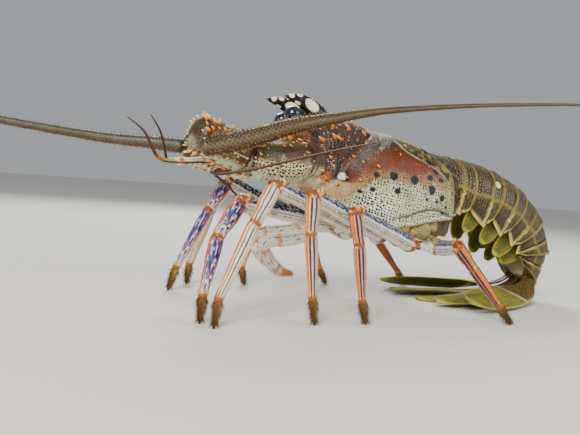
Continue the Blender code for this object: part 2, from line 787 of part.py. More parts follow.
def tail_planes():
    """Where each boundary plane meets the back, with the direction along the tail there."""
    point = TAIL_START.copy()
    planes = [(point, PLANE_TILTS[0])]
    for (length, tilt, _), next_tilt in zip(SEGMENTS, PLANE_TILTS[1:]):
        slope = math.radians(tilt)
        point = point + Vector((math.cos(slope), 0, math.sin(slope))) * length * MM
        planes.append((point, next_tilt))
    return planes


def tail_ring(point, tilt, half, size, tooth, depth_scale, grow=0.0):
    slope = math.radians(tilt)
    down = Vector((math.sin(slope), 0, -math.cos(slope)))
    side = Vector((0, 1, 0))
    wide = half * size + grow
    back = BACK_DEPTH * depth_scale
    edge = back + (PLEURON_DEPTH * depth_scale - back) * tooth
    raise_by = (1 - size) * back - grow
    ring = []
    for k in range(13):
        angle = math.pi * (k / 12 - 0.5)
        depth = back - (back - raise_by) * math.cos(angle) ** 0.9
        ring.append(point + side * wide * math.sin(angle) + down * depth)
    narrow = half * size - 2 * grow
    halfway = (back + edge) / 2
    lower = [(wide * 0.97, halfway), (wide * 0.86, edge), (narrow * 0.80, halfway)]
    lower += [(narrow * 0.68, back + 1.5 * MM), (narrow * 0.3, back - 1 * MM)]
    ring += [point + side * away + down * (depth + grow) for away, depth in lower]
    ring += [point - side * away + down * (depth + grow) for away, depth in reversed(lower)]
    return ring


def tail_segment(number, grow=0.0):
    """A segment of the tail, 0 next to the carapace."""
    planes = tail_planes()
    (start, start_tilt), (end, end_tilt) = planes[number], planes[number + 1]
    _, tilt, half = SEGMENTS[number]
    length = (end - start).length
    margin = (GAP / 2 - grow) / length
    rings = []
    for share, size, tooth in SEGMENT_RINGS:
        place = margin + share * (1 - 2 * margin)
        if number == 0 and share == 0:
            place = -FIRST_SINK / length
        point = start.lerp(end, place)
        bulge = math.sin(math.pi * max(place, 0)) * 1.2 * MM
        slope = math.radians(tilt)
        point = point + Vector((-math.sin(slope), 0, math.cos(slope))) * bulge
        turn = start_tilt + (end_tilt - start_tilt) * place
        taper = TAIL_TAPER[number] + (TAIL_TAPER[number + 1] - TAIL_TAPER[number]) * place
        rings.append(tail_ring(point, turn, half * MM * taper, size, tooth, taper, grow))
    return loft(rings)


for number in range(len(SEGMENTS)):
    segment = solid(tail_segment(number), f"abdomen_{number + 1}", "abdomen")
    if number == 0:
        cut_clear(segment, [carapace_body(GAP)])


# Thin leaves: the tail fan on the floor and the swimmerets below the tail

LEAF_SHARES = (-1.0, -0.55, 0.0, 0.55, 1.0)
LEAF_EDGE = 0.35


def vane(stations, thick):
    """A thin leaf through stations of centre, side, up and half width, split alike on both faces."""
    bm = bmesh.new()
    faces = []
    for sign in (1, -1):
        grid = []
        for centre, side, up, half in stations:
            row = []
            for share in LEAF_SHARES:
                rise = thick / 2 * (LEAF_EDGE + (1 - LEAF_EDGE) * (1 - share * share))
                row.append(bm.verts.new(centre + side * half * share + up * rise * sign))
            grid.append(row)
        faces.append(grid)
    top, under = faces
    for grid in (top, under):
        for near, far in zip(grid, grid[1:]):
            for i in range(len(LEAF_SHARES) - 1):
                bm.faces.new((near[i], near[i + 1], far[i + 1]))
                bm.faces.new((near[i], far[i + 1], far[i]))
    for i in (0, len(LEAF_SHARES) - 1):
        for s in range(len(stations) - 1):
            bm.faces.new((top[s][i], top[s + 1][i], under[s + 1][i], under[s][i]))
    for s in (0, len(stations) - 1):
        for i in range(len(LEAF_SHARES) - 1):
            bm.faces.new((top[s][i], top[s][i + 1], under[s][i + 1], under[s][i]))
    return bm


# Each leaf of the fan: depth of its root in the last segment, level above the floor, spread in degrees,
# root's offset to the side, reach, thickness, roll in degrees, and half widths from root to tip
FAN_LEAVES = {
    "telson": (4.0, 1.05, 0, 0.0, 100, 2.0, 0, (8.5, 11, 13, 14.5, 15, 14.5, 12.5, 8)),
    "endopod": (8.3, 4.2, 11, 7.0, 104, 1.8, 6, (4.5, 6, 8.5, 11, 12.5, 12.5, 10.5, 6)),
    "exopod": (12.0, 7.4, 24, 10.0, 100, 1.8, 22, (4.5, 6, 9, 12, 13.5, 13.5, 11.5, 6.5)),
}
FAN_STEPS = (0.0, 0.07, 0.14, 0.24, 0.42, 0.62, 0.84, 1.0)
FAN_SINK = 3 * MM


def fan_leaf(name, side):
    """A leaf that leaves the last segment square to its end and then bends level along the floor."""
    depth, level, spread, offset, reach, thick, roll, halves = FAN_LEAVES[name]
    point, tilt = tail_planes()[-1]
    slope = math.radians(tilt)
    down = Vector((math.sin(slope), 0, -math.cos(slope)))
    along = Vector((math.cos(slope), 0, math.sin(slope)))
    turn = math.radians(spread) * side
    level_way = Vector((-math.cos(turn), math.sin(turn), 0))
    root = point + down * depth * MM - along * FAN_SINK + Vector((0, side * offset * MM, 0))
    drop = root.z - level * MM
    stations = []
    for step, half in zip(FAN_STEPS, halves):
        run = step * reach * MM
        fall = drop * (1 - math.exp(-run / (drop * 0.75)))
        stations.append(root + level_way * run - Vector((0, 0, fall)))
    rows = []
    for i, (centre, half) in enumerate(zip(stations, halves)):
        before = stations[max(i - 1, 0)]
        after = stations[min(i + 1, len(stations) - 1)]
        way = (after - before).normalized()
        wide = Vector((0, 0, 1)).cross(way).normalized()
        share = min(FAN_STEPS[i] / 0.42, 1.0)
        wide.rotate(Quaternion(way, math.radians(roll) * side * share))
        rows.append((centre, wide, way.cross(wide), half * MM))
    return vane(rows, thick * MM)


telson = solid(fan_leaf("telson", 0), "telson", "tail_fan")
cut_clear(telson, [tail_segment(5, GAP)])
stand_on_floor(telson)
for side, sign in SIDES.items():
    for name in ("endopod", "exopod"):
        leaf = solid(fan_leaf(name, sign), f"uropod_{name}_{side}", "tail_fan")
        cut_clear(leaf, [tail_segment(5, GAP)])

# Each pair of swimmerets: segment, length, greatest half width, offset to the side and turn in degrees
SWIMMERETS = ((1, 27, 7.0, 19.0, -8), (2, 29, 7.5, 17.5, -4), (3, 29, 7.5, 15.5, 2), (4, 24, 6.0, 11.0, 4))
SWIMMERET_THICK = 1.3 * MM
SWIMMERET_WIDTHS = (0.35, 0.6, 0.9, 1.0, 0.85, 0.45)


def swimmeret(row, side):
    number, length, half, offset, turn = row
    planes = tail_planes()
    middle = planes[number][0].lerp(planes[number + 1][0], 0.5)
    tilt = SEGMENTS[number][1]
    slope = math.radians(tilt)
    down = Vector((math.sin(slope), 0, -math.cos(slope)))
    along = Vector((math.cos(slope), 0, math.sin(slope)))
    swing = math.radians(turn)
    way = (down * math.cos(swing) + along * math.sin(swing)).normalized()
    taper = TAIL_TAPER[number]
    root = middle + down * (BACK_DEPTH * taper - 3 * MM) + Vector((0, side * offset * taper * MM, 0))
    inward = Vector((0, -side, 0))
    rows = []
    last = len(SWIMMERET_WIDTHS) - 1
    for i, width in enumerate(SWIMMERET_WIDTHS):
        share = i / last
        bow = math.sin(math.pi * share) * -2.0 * MM
        centre = root + way * (length + 3) * MM * share + inward * (bow + share * 3 * MM)
        wide = along * math.cos(swing) - down * math.sin(swing)
        rows.append((centre, wide, inward, half * width * MM))
    return vane(rows, SWIMMERET_THICK)


for row in SWIMMERETS:
    for side, sign in SIDES.items():
        leaf = solid(swimmeret(row, sign), f"swimmeret_{side}_{row[0]}", "tail_fan")
        near_segments = [tail_segment(n, GAP) for n in (row[0] - 1, row[0], row[0] + 1)]
        cut_clear(leaf, near_segments)

# The whole is moved so that the origin lies on the floor, below the middle of its box

bpy.context.view_layer.update()
corners = [vert.co for body in collection.objects for vert in body.data.vertices]
middle = [(max(co[axis] for co in corners) + min(co[axis] for co in corners)) / 2 for axis in (0, 1)]
shift = Matrix.Translation((-middle[0], -middle[1], 0))
for body in collection.objects:
    body.data.transform(shift)
print("moved by", [round(value / MM, 2) for value in shift.translation])
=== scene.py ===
# %% [markdown]
# # A spiny lobster at life size
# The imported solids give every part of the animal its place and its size. This notebook dresses them: it
# makes a fine shell over each solid, paints the markings, and adds the spines, bristles and fringes
# that are too small for the solids. The frame comes first, because every piece below hangs on it.

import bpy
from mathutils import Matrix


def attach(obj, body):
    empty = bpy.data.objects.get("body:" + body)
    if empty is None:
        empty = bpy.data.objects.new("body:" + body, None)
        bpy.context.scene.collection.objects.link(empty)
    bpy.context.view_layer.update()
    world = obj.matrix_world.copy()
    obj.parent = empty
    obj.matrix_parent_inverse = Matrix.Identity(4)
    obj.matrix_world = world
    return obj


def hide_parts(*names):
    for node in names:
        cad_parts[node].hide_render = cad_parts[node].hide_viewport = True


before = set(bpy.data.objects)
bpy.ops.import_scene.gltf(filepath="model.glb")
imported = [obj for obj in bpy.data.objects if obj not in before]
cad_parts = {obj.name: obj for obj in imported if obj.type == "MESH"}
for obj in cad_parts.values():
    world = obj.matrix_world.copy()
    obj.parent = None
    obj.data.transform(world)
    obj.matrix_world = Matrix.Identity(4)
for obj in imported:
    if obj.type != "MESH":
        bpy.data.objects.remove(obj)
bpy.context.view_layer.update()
print("solids loaded:", len(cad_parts))

# %% [markdown]
# The rest of the tools are Blender's own. `bmesh` holds the modelling operators, and `mathutils` the
# vectors. A seeded random draw makes the spines uneven in the same way on every run.

# %% Tools and units
import math
import random
from bisect import bisect_right

import bmesh
import bpy
from mathutils import Matrix, Vector, noise

MM = 0.001
SIDES = {"left": -1, "right": 1}
MOVED = Vector((105.03, -8.47, 0))


def mm(x, y, z):
    """A place in millimetres, measured from the floor below the middle of the trunk."""
    return (Vector((x, y, z)) + MOVED) * MM


def srgb(red, green, blue):
    """A colour as a screen shows it, turned into the linear numbers that shaders use."""
    return tuple((part / 255) ** 2.2 for part in (red, green, blue))


def blend(first, second, share):
    share = min(max(share, 0.0), 1.0)
    return tuple(a + (b - a) * share for a, b in zip(first, second))


def rise(value, low, high):
    """0 below low, 1 above high and a soft slope between them."""
    share = min(max((value - low) / (high - low), 0.0), 1.0)
    return share * share * (3 - 2 * share)


# %% [markdown]
# ## Camera, floor and light
# The photograph looks at the animal's left side from a little in front and almost level with its back,
# and it is tilted by a few degrees. The camera's matrix is built from those three angles: its columns
# are the directions to the right, up and back. A long lens keeps the tail from shrinking too much.

# %% Camera
AZIMUTH = math.radians(-27)
ELEVATION = math.radians(2.5)
ROLL = math.radians(4)
LENS = 45
CAMERA_PLACE = mm(-265, -404, 73)

back_way = Vector((
    math.sin(AZIMUTH) * math.cos(ELEVATION),
    -math.cos(AZIMUTH) * math.cos(ELEVATION),
    math.sin(ELEVATION),
))
level_right = Vector((math.cos(AZIMUTH), math.sin(AZIMUTH), 0))
level_up = back_way.cross(level_right)
right_way = level_right * math.cos(ROLL) + level_up * math.sin(ROLL)
up_way = level_up * math.cos(ROLL) - level_right * math.sin(ROLL)

camera_data = bpy.data.cameras.new("camera")
camera_data.lens = LENS
camera_data.sensor_width = 36
camera_data.clip_start = 0.01
camera = bpy.data.objects.new("camera", camera_data)
turn = Matrix((right_way, up_way, back_way)).transposed().to_4x4()
camera.matrix_world = Matrix.Translation(CAMERA_PLACE) @ turn
bpy.context.scene.collection.objects.link(camera)
bpy.context.scene.camera = camera
print("camera at", [round(value, 3) for value in CAMERA_PLACE])

# %% [markdown]
# A museum would light the model with broad, soft lamps. Three area lights do that: a large key from the
# front left, where the photograph's light comes from, a weaker fill and a rim light from behind. The
# floor is plain and pale, and wide enough to reach the horizon in a view this low.

# %% Floor and light
FLOOR_COLOUR = srgb(226, 223, 216)
BACKDROP_COLOUR = srgb(214, 218, 222)


def add_light(name, place, target, size, power, colour=(1, 1, 1)):
    data = bpy.data.lights.new(name, "AREA")
    data.shape = "DISK"
    data.size = size
    data.energy = power
    data.color = colour
    lamp = bpy.data.objects.new(name, data)
    lamp.location = place
    lamp.rotation_euler = (Vector(target) - Vector(place)).to_track_quat("-Z", "Y").to_euler()
    bpy.context.scene.collection.objects.link(lamp)
    return lamp


add_light("key", (-0.75, -0.95, 0.85), (0.05, 0, 0.06), 0.7, 26, (1.0, 0.97, 0.92))
add_light("fill", (0.9, -0.9, 0.5), (0.1, 0, 0.05), 0.9, 7, (0.92, 0.96, 1.0))
add_light("rim", (0.35, 1.0, 0.9), (0.1, 0, 0.08), 0.7, 14)

world = bpy.data.worlds.new("backdrop")
world.use_nodes = True
world.node_tree.nodes["Background"].inputs["Color"].default_value = (*BACKDROP_COLOUR, 1)
world.node_tree.nodes["Background"].inputs["Strength"].default_value = 0.55
bpy.context.scene.world = world

sheet = bmesh.new()
bmesh.ops.create_grid(sheet, x_segments=1, y_segments=1, size=8)
floor_mesh = bpy.data.meshes.new("floor")
sheet.to_mesh(floor_mesh)
sheet.free()
floor = bpy.data.objects.new("floor", floor_mesh)
bpy.context.scene.collection.objects.link(floor)
floor_finish = bpy.data.materials.new("floor")
floor_finish.use_nodes = True
floor_finish.node_tree.nodes["Principled BSDF"].inputs["Base Color"].default_value = (*FLOOR_COLOUR, 1)
floor_finish.node_tree.nodes["Principled BSDF"].inputs["Roughness"].default_value = 0.85
floor_mesh.materials.append(floor_finish)
print("lights and floor ready")

# %% [markdown]
# ## One finish for all shell
# Lobster shell is hard, thin and slightly waxy. Its colour lies in it as broad washes, finely mottled,
# with dark dots on the pale parts. The washes are painted on each piece's points as an attribute named
# `tint`. A second attribute, `speckle`, says how large the dots grow, dark where it is positive and pale
# where it is negative, and a third, `fleck`, does the same for dots half as far apart. The dots are cells
# of a Voronoi texture laid over the piece's own map, whose unit is a millimetre. The shader adds what is too
# fine to paint: two sizes of mottling, the dots from a Voronoi texture, and a grained surface.

# %% Shell finish
def shader_node(tree, kind, **settings):
    made = tree.nodes.new(kind)
    for name, value in settings.items():
        setattr(made, name, value)
    return made


def shell_finish(name, dot=srgb(18, 12, 12), pale=srgb(196, 180, 120), dot_pitch=2.0, roughness=0.42,
                 coat=0.12, grain=0.00012, mottle=0.25, mottle_scale=160):
    """A waxy shell whose broad colours come from the points' own tint."""
    made = bpy.data.materials.new(name)
    made.use_nodes = True
    tree = made.node_tree
    link = tree.links.new
    shader = tree.nodes["Principled BSDF"]
    shader.inputs["Coat Weight"].default_value = coat
    shader.inputs["Specular IOR Level"].default_value = 0.3
    shader.inputs["Coat Roughness"].default_value = 0.25
    place = shader_node(tree, "ShaderNodeTexCoord").outputs["Object"]
    tint = shader_node(tree, "ShaderNodeAttribute", attribute_name="tint").outputs["Color"]
    speckle = shader_node(tree, "ShaderNodeAttribute", attribute_name="speckle").outputs["Fac"]

    broad = shader_node(tree, "ShaderNodeTexNoise")
    broad.inputs["Scale"].default_value = mottle_scale
    broad.inputs["Detail"].default_value = 5
    fine = shader_node(tree, "ShaderNodeTexNoise")
    fine.inputs["Scale"].default_value = 1400
    fine.inputs["Detail"].default_value = 3
    for texture in (broad, fine):
        link(place, texture.inputs["Vector"])
    surface = shader_node(tree, "ShaderNodeUVMap", uv_map="Around").outputs["UV"]
    fleck = shader_node(tree, "ShaderNodeAttribute", attribute_name="fleck").outputs["Fac"]

    shade = shader_node(tree, "ShaderNodeMapRange")
    shade.inputs["From Min"].default_value = 0.25
    shade.inputs["From Max"].default_value = 0.75
    shade.inputs["To Min"].default_value = 1 - mottle
    shade.inputs["To Max"].default_value = 1 + mottle
    link(broad.outputs["Fac"], shade.inputs["Value"])
    fine_shade = shader_node(tree, "ShaderNodeMapRange")
    fine_shade.inputs["From Min"].default_value = 0.3
    fine_shade.inputs["From Max"].default_value = 0.7
    fine_shade.inputs["To Min"].default_value = 1 - mottle * 0.6
    fine_shade.inputs["To Max"].default_value = 1 + mottle * 0.4
    link(fine.outputs["Fac"], fine_shade.inputs["Value"])
    both = shader_node(tree, "ShaderNodeMath", operation="MULTIPLY")
    link(shade.outputs["Result"], both.inputs[0])
    link(fine_shade.outputs["Result"], both.inputs[1])
    washed = shader_node(tree, "ShaderNodeVectorMath", operation="SCALE")
    link(tint, washed.inputs[0])
    link(both.outputs[0], washed.inputs["Scale"])

    covers = []
    for amount, pitch in ((speckle, dot_pitch), (fleck, dot_pitch / 2)):
        cells = shader_node(tree, "ShaderNodeTexVoronoi", voronoi_dimensions="2D")
        cells.inputs["Scale"].default_value = 1 / pitch
        cells.inputs["Randomness"].default_value = 0.5
        link(surface, cells.inputs["Vector"])
        parts = shader_node(tree, "ShaderNodeSeparateColor")
        link(cells.outputs["Color"], parts.inputs["Color"])
        uneven = shader_node(tree, "ShaderNodeMapRange")
        uneven.inputs["To Min"].default_value = 0.3
        uneven.inputs["To Max"].default_value = 0.5
        link(parts.outputs["Red"], uneven.inputs["Value"])
        size = shader_node(tree, "ShaderNodeMath", operation="ABSOLUTE")
        link(amount, size.inputs[0])
        reach = shader_node(tree, "ShaderNodeMath", operation="MULTIPLY")
        link(uneven.outputs["Result"], reach.inputs[0])
        link(size.outputs[0], reach.inputs[1])
        edge = shader_node(tree, "ShaderNodeMath", operation="SUBTRACT")
        link(reach.outputs[0], edge.inputs[0])
        link(cells.outputs["Distance"], edge.inputs[1])
        dots = shader_node(tree, "ShaderNodeMapRange")
        dots.inputs["From Min"].default_value = -0.06
        dots.inputs["From Max"].default_value = 0.03
        link(edge.outputs[0], dots.inputs["Value"])
        shown = shader_node(tree, "ShaderNodeMath", operation="GREATER_THAN")
        shown.inputs[1].default_value = 0.05
        link(size.outputs[0], shown.inputs[0])
        cover = shader_node(tree, "ShaderNodeMath", operation="MULTIPLY")
        link(dots.outputs["Result"], cover.inputs[0])
        link(shown.outputs[0], cover.inputs[1])
        covers.append(cover.outputs[0])
    cover = shader_node(tree, "ShaderNodeMath", operation="MAXIMUM")
    link(covers[0], cover.inputs[0])
    link(covers[1], cover.inputs[1])
    dark = shader_node(tree, "ShaderNodeMath", operation="GREATER_THAN")
    dark.inputs[1].default_value = 0
    link(speckle, dark.inputs[0])
    dot_colour = shader_node(tree, "ShaderNodeMix", data_type="RGBA")
    dot_colour.inputs["A"].default_value = (*pale, 1)
    dot_colour.inputs["B"].default_value = (*dot, 1)
    link(dark.outputs[0], dot_colour.inputs["Factor"])
    marked = shader_node(tree, "ShaderNodeMix", data_type="RGBA")
    link(cover.outputs[0], marked.inputs["Factor"])
    link(washed.outputs["Vector"], marked.inputs["A"])
    link(dot_colour.outputs["Result"], marked.inputs["B"])
    link(marked.outputs["Result"], shader.inputs["Base Color"])

    gloss = shader_node(tree, "ShaderNodeMapRange")
    gloss.inputs["To Min"].default_value = roughness - 0.1
    gloss.inputs["To Max"].default_value = roughness + 0.14
    link(fine.outputs["Fac"], gloss.inputs["Value"])
    link(gloss.outputs["Result"], shader.inputs["Roughness"])
    height = shader_node(tree, "ShaderNodeMath", operation="SUBTRACT")
    link(fine.outputs["Fac"], height.inputs[0])
    link(cover.outputs[0], height.inputs[1])
    bump = shader_node(tree, "ShaderNodeBump")
    bump.inputs["Strength"].default_value = 0.6
    bump.inputs["Distance"].default_value = grain
    link(height.outputs[0], bump.inputs["Height"])
    link(bump.outputs["Normal"], shader.inputs["Normal"])
    return made


shell = shell_finish("shell")
print("finish ready:", shell.name)

# %% [markdown]
# ## Bending a grid into a shell
# Almost every part of a crustacean is a bent sheet that closes on itself. Instead of listing points,
# one operator makes a flat grid and a rule says where each of its points goes. Where the rule brings
# two edges together they are merged, so seams and ends are closed. The same walk over the points paints
# them. Lengths inside the rules are in millimetres, as on a drawing.

# %% A piece, from an empty mesh to an object that rides on the frame
def new_piece():
    bm = bmesh.new()
    bm.loops.layers.uv.new("Around")
    bm.verts.layers.float_color.new("tint")
    bm.verts.layers.float.new("speckle")
    bm.verts.layers.float.new("fleck")
    return bm


def bent_grid(bm, rows, around, place, paint, spread=(1, 1)):
    """Adds a grid whose points go where place(row, turn) says, painted by paint(row, turn, point).

    The paint is a colour, the size of the dots and, where wanted, that of the flecks. The spread is the
    sheet's length and girth in mm, which its map is scaled to.
    """
    tint = bm.verts.layers.float_color["tint"]
    speckle = bm.verts.layers.float["speckle"]
    fleck = bm.verts.layers.float["fleck"]
    around_map = bm.loops.layers.uv["Around"]
    grid = bmesh.ops.create_grid(bm, x_segments=rows, y_segments=around, size=0.5)["verts"]
    for vert in grid:
        row = round((vert.co.x + 0.5) * rows)
        turn = vert.co.y + 0.5
        vert.co = place(row, turn)
        colour, dots, *flecks = paint(row, turn, vert.co)
        vert[tint] = (*colour, 1)
        vert[speckle] = dots
        vert[fleck] = flecks[0] if flecks else dots * 0.6
        for loop in vert.link_loops:
            loop[around_map].uv = (row / rows * spread[0], turn * spread[1])
    bmesh.ops.remove_doubles(bm, verts=grid, dist=1e-7)


def lift_to_floor(bm):
    """Lifts what would sink below the floor."""
    for vert in bm.verts:
        vert.co.z = max(vert.co.z, 0.0)


def finish_piece(bm, name, finish, nodes=()):
    """Turns the mesh into an object, smooth but for its sharp edges, and hangs it on the frame."""
    bmesh.ops.recalc_face_normals(bm, faces=bm.faces[:])
    mesh = bpy.data.meshes.new(name)
    bm.to_mesh(mesh)
    bm.free()
    mesh.shade_smooth()
    mesh.set_sharp_from_angle(angle=math.radians(50))
    mesh.materials.append(finish)
    piece = bpy.data.objects.new(name, mesh)
    bpy.context.scene.collection.objects.link(piece)
    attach(piece, "root")
    if nodes:
        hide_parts(*nodes)
    print(name, "faces:", len(mesh.polygons))
    return piece


# %% [markdown]
# A limb or a feeler is a tube whose width changes along a curved line. A `Track` is that line: it runs
# smoothly through a few points and carries an upward direction along without twisting, which keeps the
# stripes of a leg straight. Both ends of each tube are rounded off, because an article of a leg is a
# closed barrel that ends inside its joint.

# %% Smooth lines and smooth tables
def smooth_path(points, steps):
    padded = [2 * points[0] - points[1], *points, 2 * points[-1] - points[-2]]
    curve = []
    for a, b, c, d in zip(padded, padded[1:], padded[2:], padded[3:]):
        for k in range(steps):
            t = k / steps
            curve.append(0.5 * (2 * b + (c - a) * t + (2 * a - 5 * b + 4 * c - d) * t * t
                                + (3 * b - a - 3 * c + d) * t ** 3))
    curve.append(points[-1].copy())
    return curve


class Track:
    """A smooth line through a route, with a direction along it and one upward at each place."""

    def __init__(self, route, up=(0, 0, 1), steps=12):
        self.points = smooth_path(list(route), steps)
        last = len(self.points) - 1
        self.ways = [(self.points[min(i + 1, last)] - self.points[max(i - 1, 0)]).normalized()
                     for i in range(last + 1)]
        self.marks = [0.0]
        for a, b in zip(self.points, self.points[1:]):
            self.marks.append(self.marks[-1] + (b - a).length)
        self.length = self.marks[-1]
        self.ups = []
        current = Vector(up)
        for way in self.ways:
            current = (current - way * current.dot(way)).normalized()
            self.ups.append(current)

    def at(self, share):
        distance = min(max(share, 0.0), 1.0) * self.length
        i = min(bisect_right(self.marks, distance), len(self.marks) - 1) - 1
        part = (distance - self.marks[i]) / (self.marks[i + 1] - self.marks[i])
        point = self.points[i].lerp(self.points[i + 1], part)
        way = self.ways[i].lerp(self.ways[i + 1], part).normalized()
        up = self.ups[i].lerp(self.ups[i + 1], part)
        return point, way, (up - way * up.dot(way)).normalized()


class Table:
    """Values at a few places with a smooth curve through them."""

    def __init__(self, rows):
        self.places = [row[0] for row in rows]
        self.values = [row[1:] for row in rows]

    def at(self, place):
        places, values = self.places, self.values
        if place <= places[0]:
            return values[0]
        if place >= places[-1]:
            return values[-1]
        i = bisect_right(places, place) - 1
        last = len(places) - 1
        span = places[i + 1] - places[i]
        t = (place - places[i]) / span
        result = []
        for column in range(len(values[0])):
            slopes = []
            for j in (i, i + 1):
                low, high = max(j - 1, 0), min(j + 1, last)
                slopes.append((values[high][column] - values[low][column]) / (places[high] - places[low]))
            a, b = values[i][column], values[i + 1][column]
            result.append(a * (2 * t ** 3 - 3 * t * t + 1) + b * (3 * t * t - 2 * t ** 3)
                          + span * (slopes[0] * (t ** 3 - 2 * t * t + t) + slopes[1] * (t ** 3 - t * t)))
        return tuple(result)


def tube(bm, track, width, rows, around, paint, flat=1.0, relief=None, dome=0.6, dome_rows=4):
    """A closed tube: width(share) is its half height in mm, flat squeezes it from side to side."""
    steps = []
    for k in range(dome_rows):
        angle = math.pi / 2 * k / dome_rows
        steps.append((0.0, math.sin(angle), -math.cos(angle)))
    steps += [(k / rows, 1.0, 0.0) for k in range(rows + 1)]
    for k in reversed(range(dome_rows)):
        angle = math.pi / 2 * k / dome_rows
        steps.append((1.0, math.sin(angle), math.cos(angle)))
    places = []
    for share, shrink, push in steps:
        centre, way, up = track.at(share)
        half = width(share) * MM
        places.append((centre + way * (push * half * dome), way.cross(up), up, half * shrink, share))

    def place(row, turn):
        centre, side, up, half, share = places[row]
        angle = math.tau * turn
        reach = half + (relief(share, turn) * MM if relief and half else 0)
        return centre + up * (math.cos(angle) * reach) + side * (math.sin(angle) * reach * flat)

    def tinted(row, turn, point):
        return paint(places[row][4], turn, point)

    girth = math.tau * sum(width(k / 8) for k in range(9)) / 9
    bent_grid(bm, len(steps) - 1, around, place, tinted, (track.length / MM, girth))


print("helpers for tubes ready")

# %% [markdown]
# ## Spines and bristles
# Spines are turned shapes, so a profile is spun once round its axis into a small model with a flared
# foot, and copies of it are set on the shell. They curve forward like thorns and are painted from a dark
# ring at the foot to a pale tip. Bristles are three-sided needles. Each bristle's own map, `OFBake`,
# gives it a small patch, so that a colour can be baked to it later.

# %% Spine and bristle models
SPINE_PROFILE = ((0.0, -0.14), (1.35, -0.12), (1.3, 0.0), (0.98, 0.1), (0.78, 0.28), (0.55, 0.55), (0.3, 0.82),
                 (0.13, 0.96), (0.0, 1.0))
SPINE_BEND = 0.18


def painted_model(bm, colours):
    """Paints a model by height with colours spread evenly from its foot to its tip."""
    tint = bm.verts.layers.float_color.new("tint")
    bm.verts.layers.float.new("speckle")
    for vert in bm.verts:
        share = min(max(vert.co.z, 0.0), 1.0) * (len(colours) - 1)
        low = min(int(share), len(colours) - 2)
        vert[tint] = (*blend(colours[low], colours[low + 1], share - low), 1)
    bmesh.ops.recalc_face_normals(bm, faces=bm.faces[:])
    mesh = bpy.data.meshes.new("model")
    bm.to_mesh(mesh)
    bm.free()
    return mesh


def spine_model(colours, sides=8):
    bm = bmesh.new()
    bm.loops.layers.uv.new("Around")
    chain = [bm.verts.new((radius, 0, height)) for radius, height in SPINE_PROFILE]
    edges = [bm.edges.new(pair) for pair in zip(chain, chain[1:])]
    bmesh.ops.spin(bm, geom=chain + edges, cent=(0, 0, 0), axis=(0, 0, 1), angle=math.tau, steps=sides,
                   use_merge=True)
    bmesh.ops.remove_doubles(bm, verts=bm.verts[:], dist=1e-5)
    return painted_model(bm, colours)


def bristle_model(colours):
    bm = bmesh.new()
    bm.loops.layers.uv.new("OFBake")
    bmesh.ops.create_cone(bm, cap_ends=True, segments=3, radius1=1, radius2=0.12, depth=1,
                          matrix=Matrix.Translation((0, 0, 0.5)), calc_uvs=True)
    return painted_model(bm, colours)


def set_model(bm, model, root, tip, radius, lean=None, patch=None):
    """Sets a copy of a model from root to tip. A lean bends it towards that direction.

    A patch is the place of the copy's own small patch on its map.
    """
    way = tip - root
    length = way.length
    way = way / length
    side = lean if lean is not None else Vector((0, 0, 1))
    side = side - way * side.dot(way)
    if side.length < 1e-4:
        side = Vector((0, 1, 0)) - way * way.y
    side.normalize()
    copy = model.copy()
    turned = Matrix((side, way.cross(side), way)).transposed().to_4x4()
    if lean is not None:
        for vert in copy.vertices:
            vert.co.x += SPINE_BEND * length / radius * max(vert.co.z, 0.0) ** 2
    copy.transform(Matrix.Translation(root) @ turned @ Matrix.Diagonal((radius, radius, length, 1)))
    if patch is not None:
        for corner in copy.uv_layers["OFBake"].data:
            corner.uv = (patch[0] + (corner.uv[0] - 0.5) * 0.003, patch[1] + (corner.uv[1] - 0.5) * 0.003)
    bm.from_mesh(copy)
    bpy.data.meshes.remove(copy)


THORN_COLOURS = [srgb(58, 30, 18), srgb(196, 98, 30), srgb(226, 150, 52), srgb(240, 205, 120), srgb(250, 232, 180)]
thorn = spine_model(THORN_COLOURS)
bristle = bristle_model([srgb(92, 70, 34), srgb(150, 124, 62), srgb(196, 172, 104)])
print("thorn faces:", len(thorn.polygons), "bristle faces:", len(bristle.polygons))

# %% [markdown]
# Bristles are kept apart from the shells, in coats of their own, because thousands of needles need a
# simpler map than a plate does. A coat's map is cut into tiles, one for each part of the body that wears
# it, and each bristle's patch lies in its tile where its root lies on that part.

# %% Coats of bristles
PATCH_ROOM = 0.004


def new_coat():
    bm = bmesh.new()
    bm.loops.layers.uv.new("OFBake")
    bm.verts.layers.float_color.new("tint")
    bm.verts.layers.float.new("speckle")
    return bm


def set_hair(coat, model, root, tip, radius, tile, columns, spot):
    """Sets a bristle whose root lies at the spot (0 to 1 both ways) of a tile of the coat's map."""
    column, row = tile % columns, tile // columns
    u = (column + PATCH_ROOM + spot[0] % 1 * (1 - 2 * PATCH_ROOM)) / columns
    v = (row + PATCH_ROOM + spot[1] % 1 * (1 - 2 * PATCH_ROOM)) / columns
    set_model(coat, model, root, tip, radius * MM, patch=(u, v))


bristle_finish = shell_finish("bristle", roughness=0.6, coat=0.0, grain=0.00002)
print("coats ready")

# %% [markdown]
# ## The carapace
# The shell over head and chest is one plate, bent like a saddle and grooved across. Its sections come
# from the same measures as the solid: height of the back, height of the lower edge and half the width,
# at a few places behind the front. The groove between head and chest, the roll along the hind edge and
# the seam above the gills are small offsets of the surface, worked out from the place on the shell.

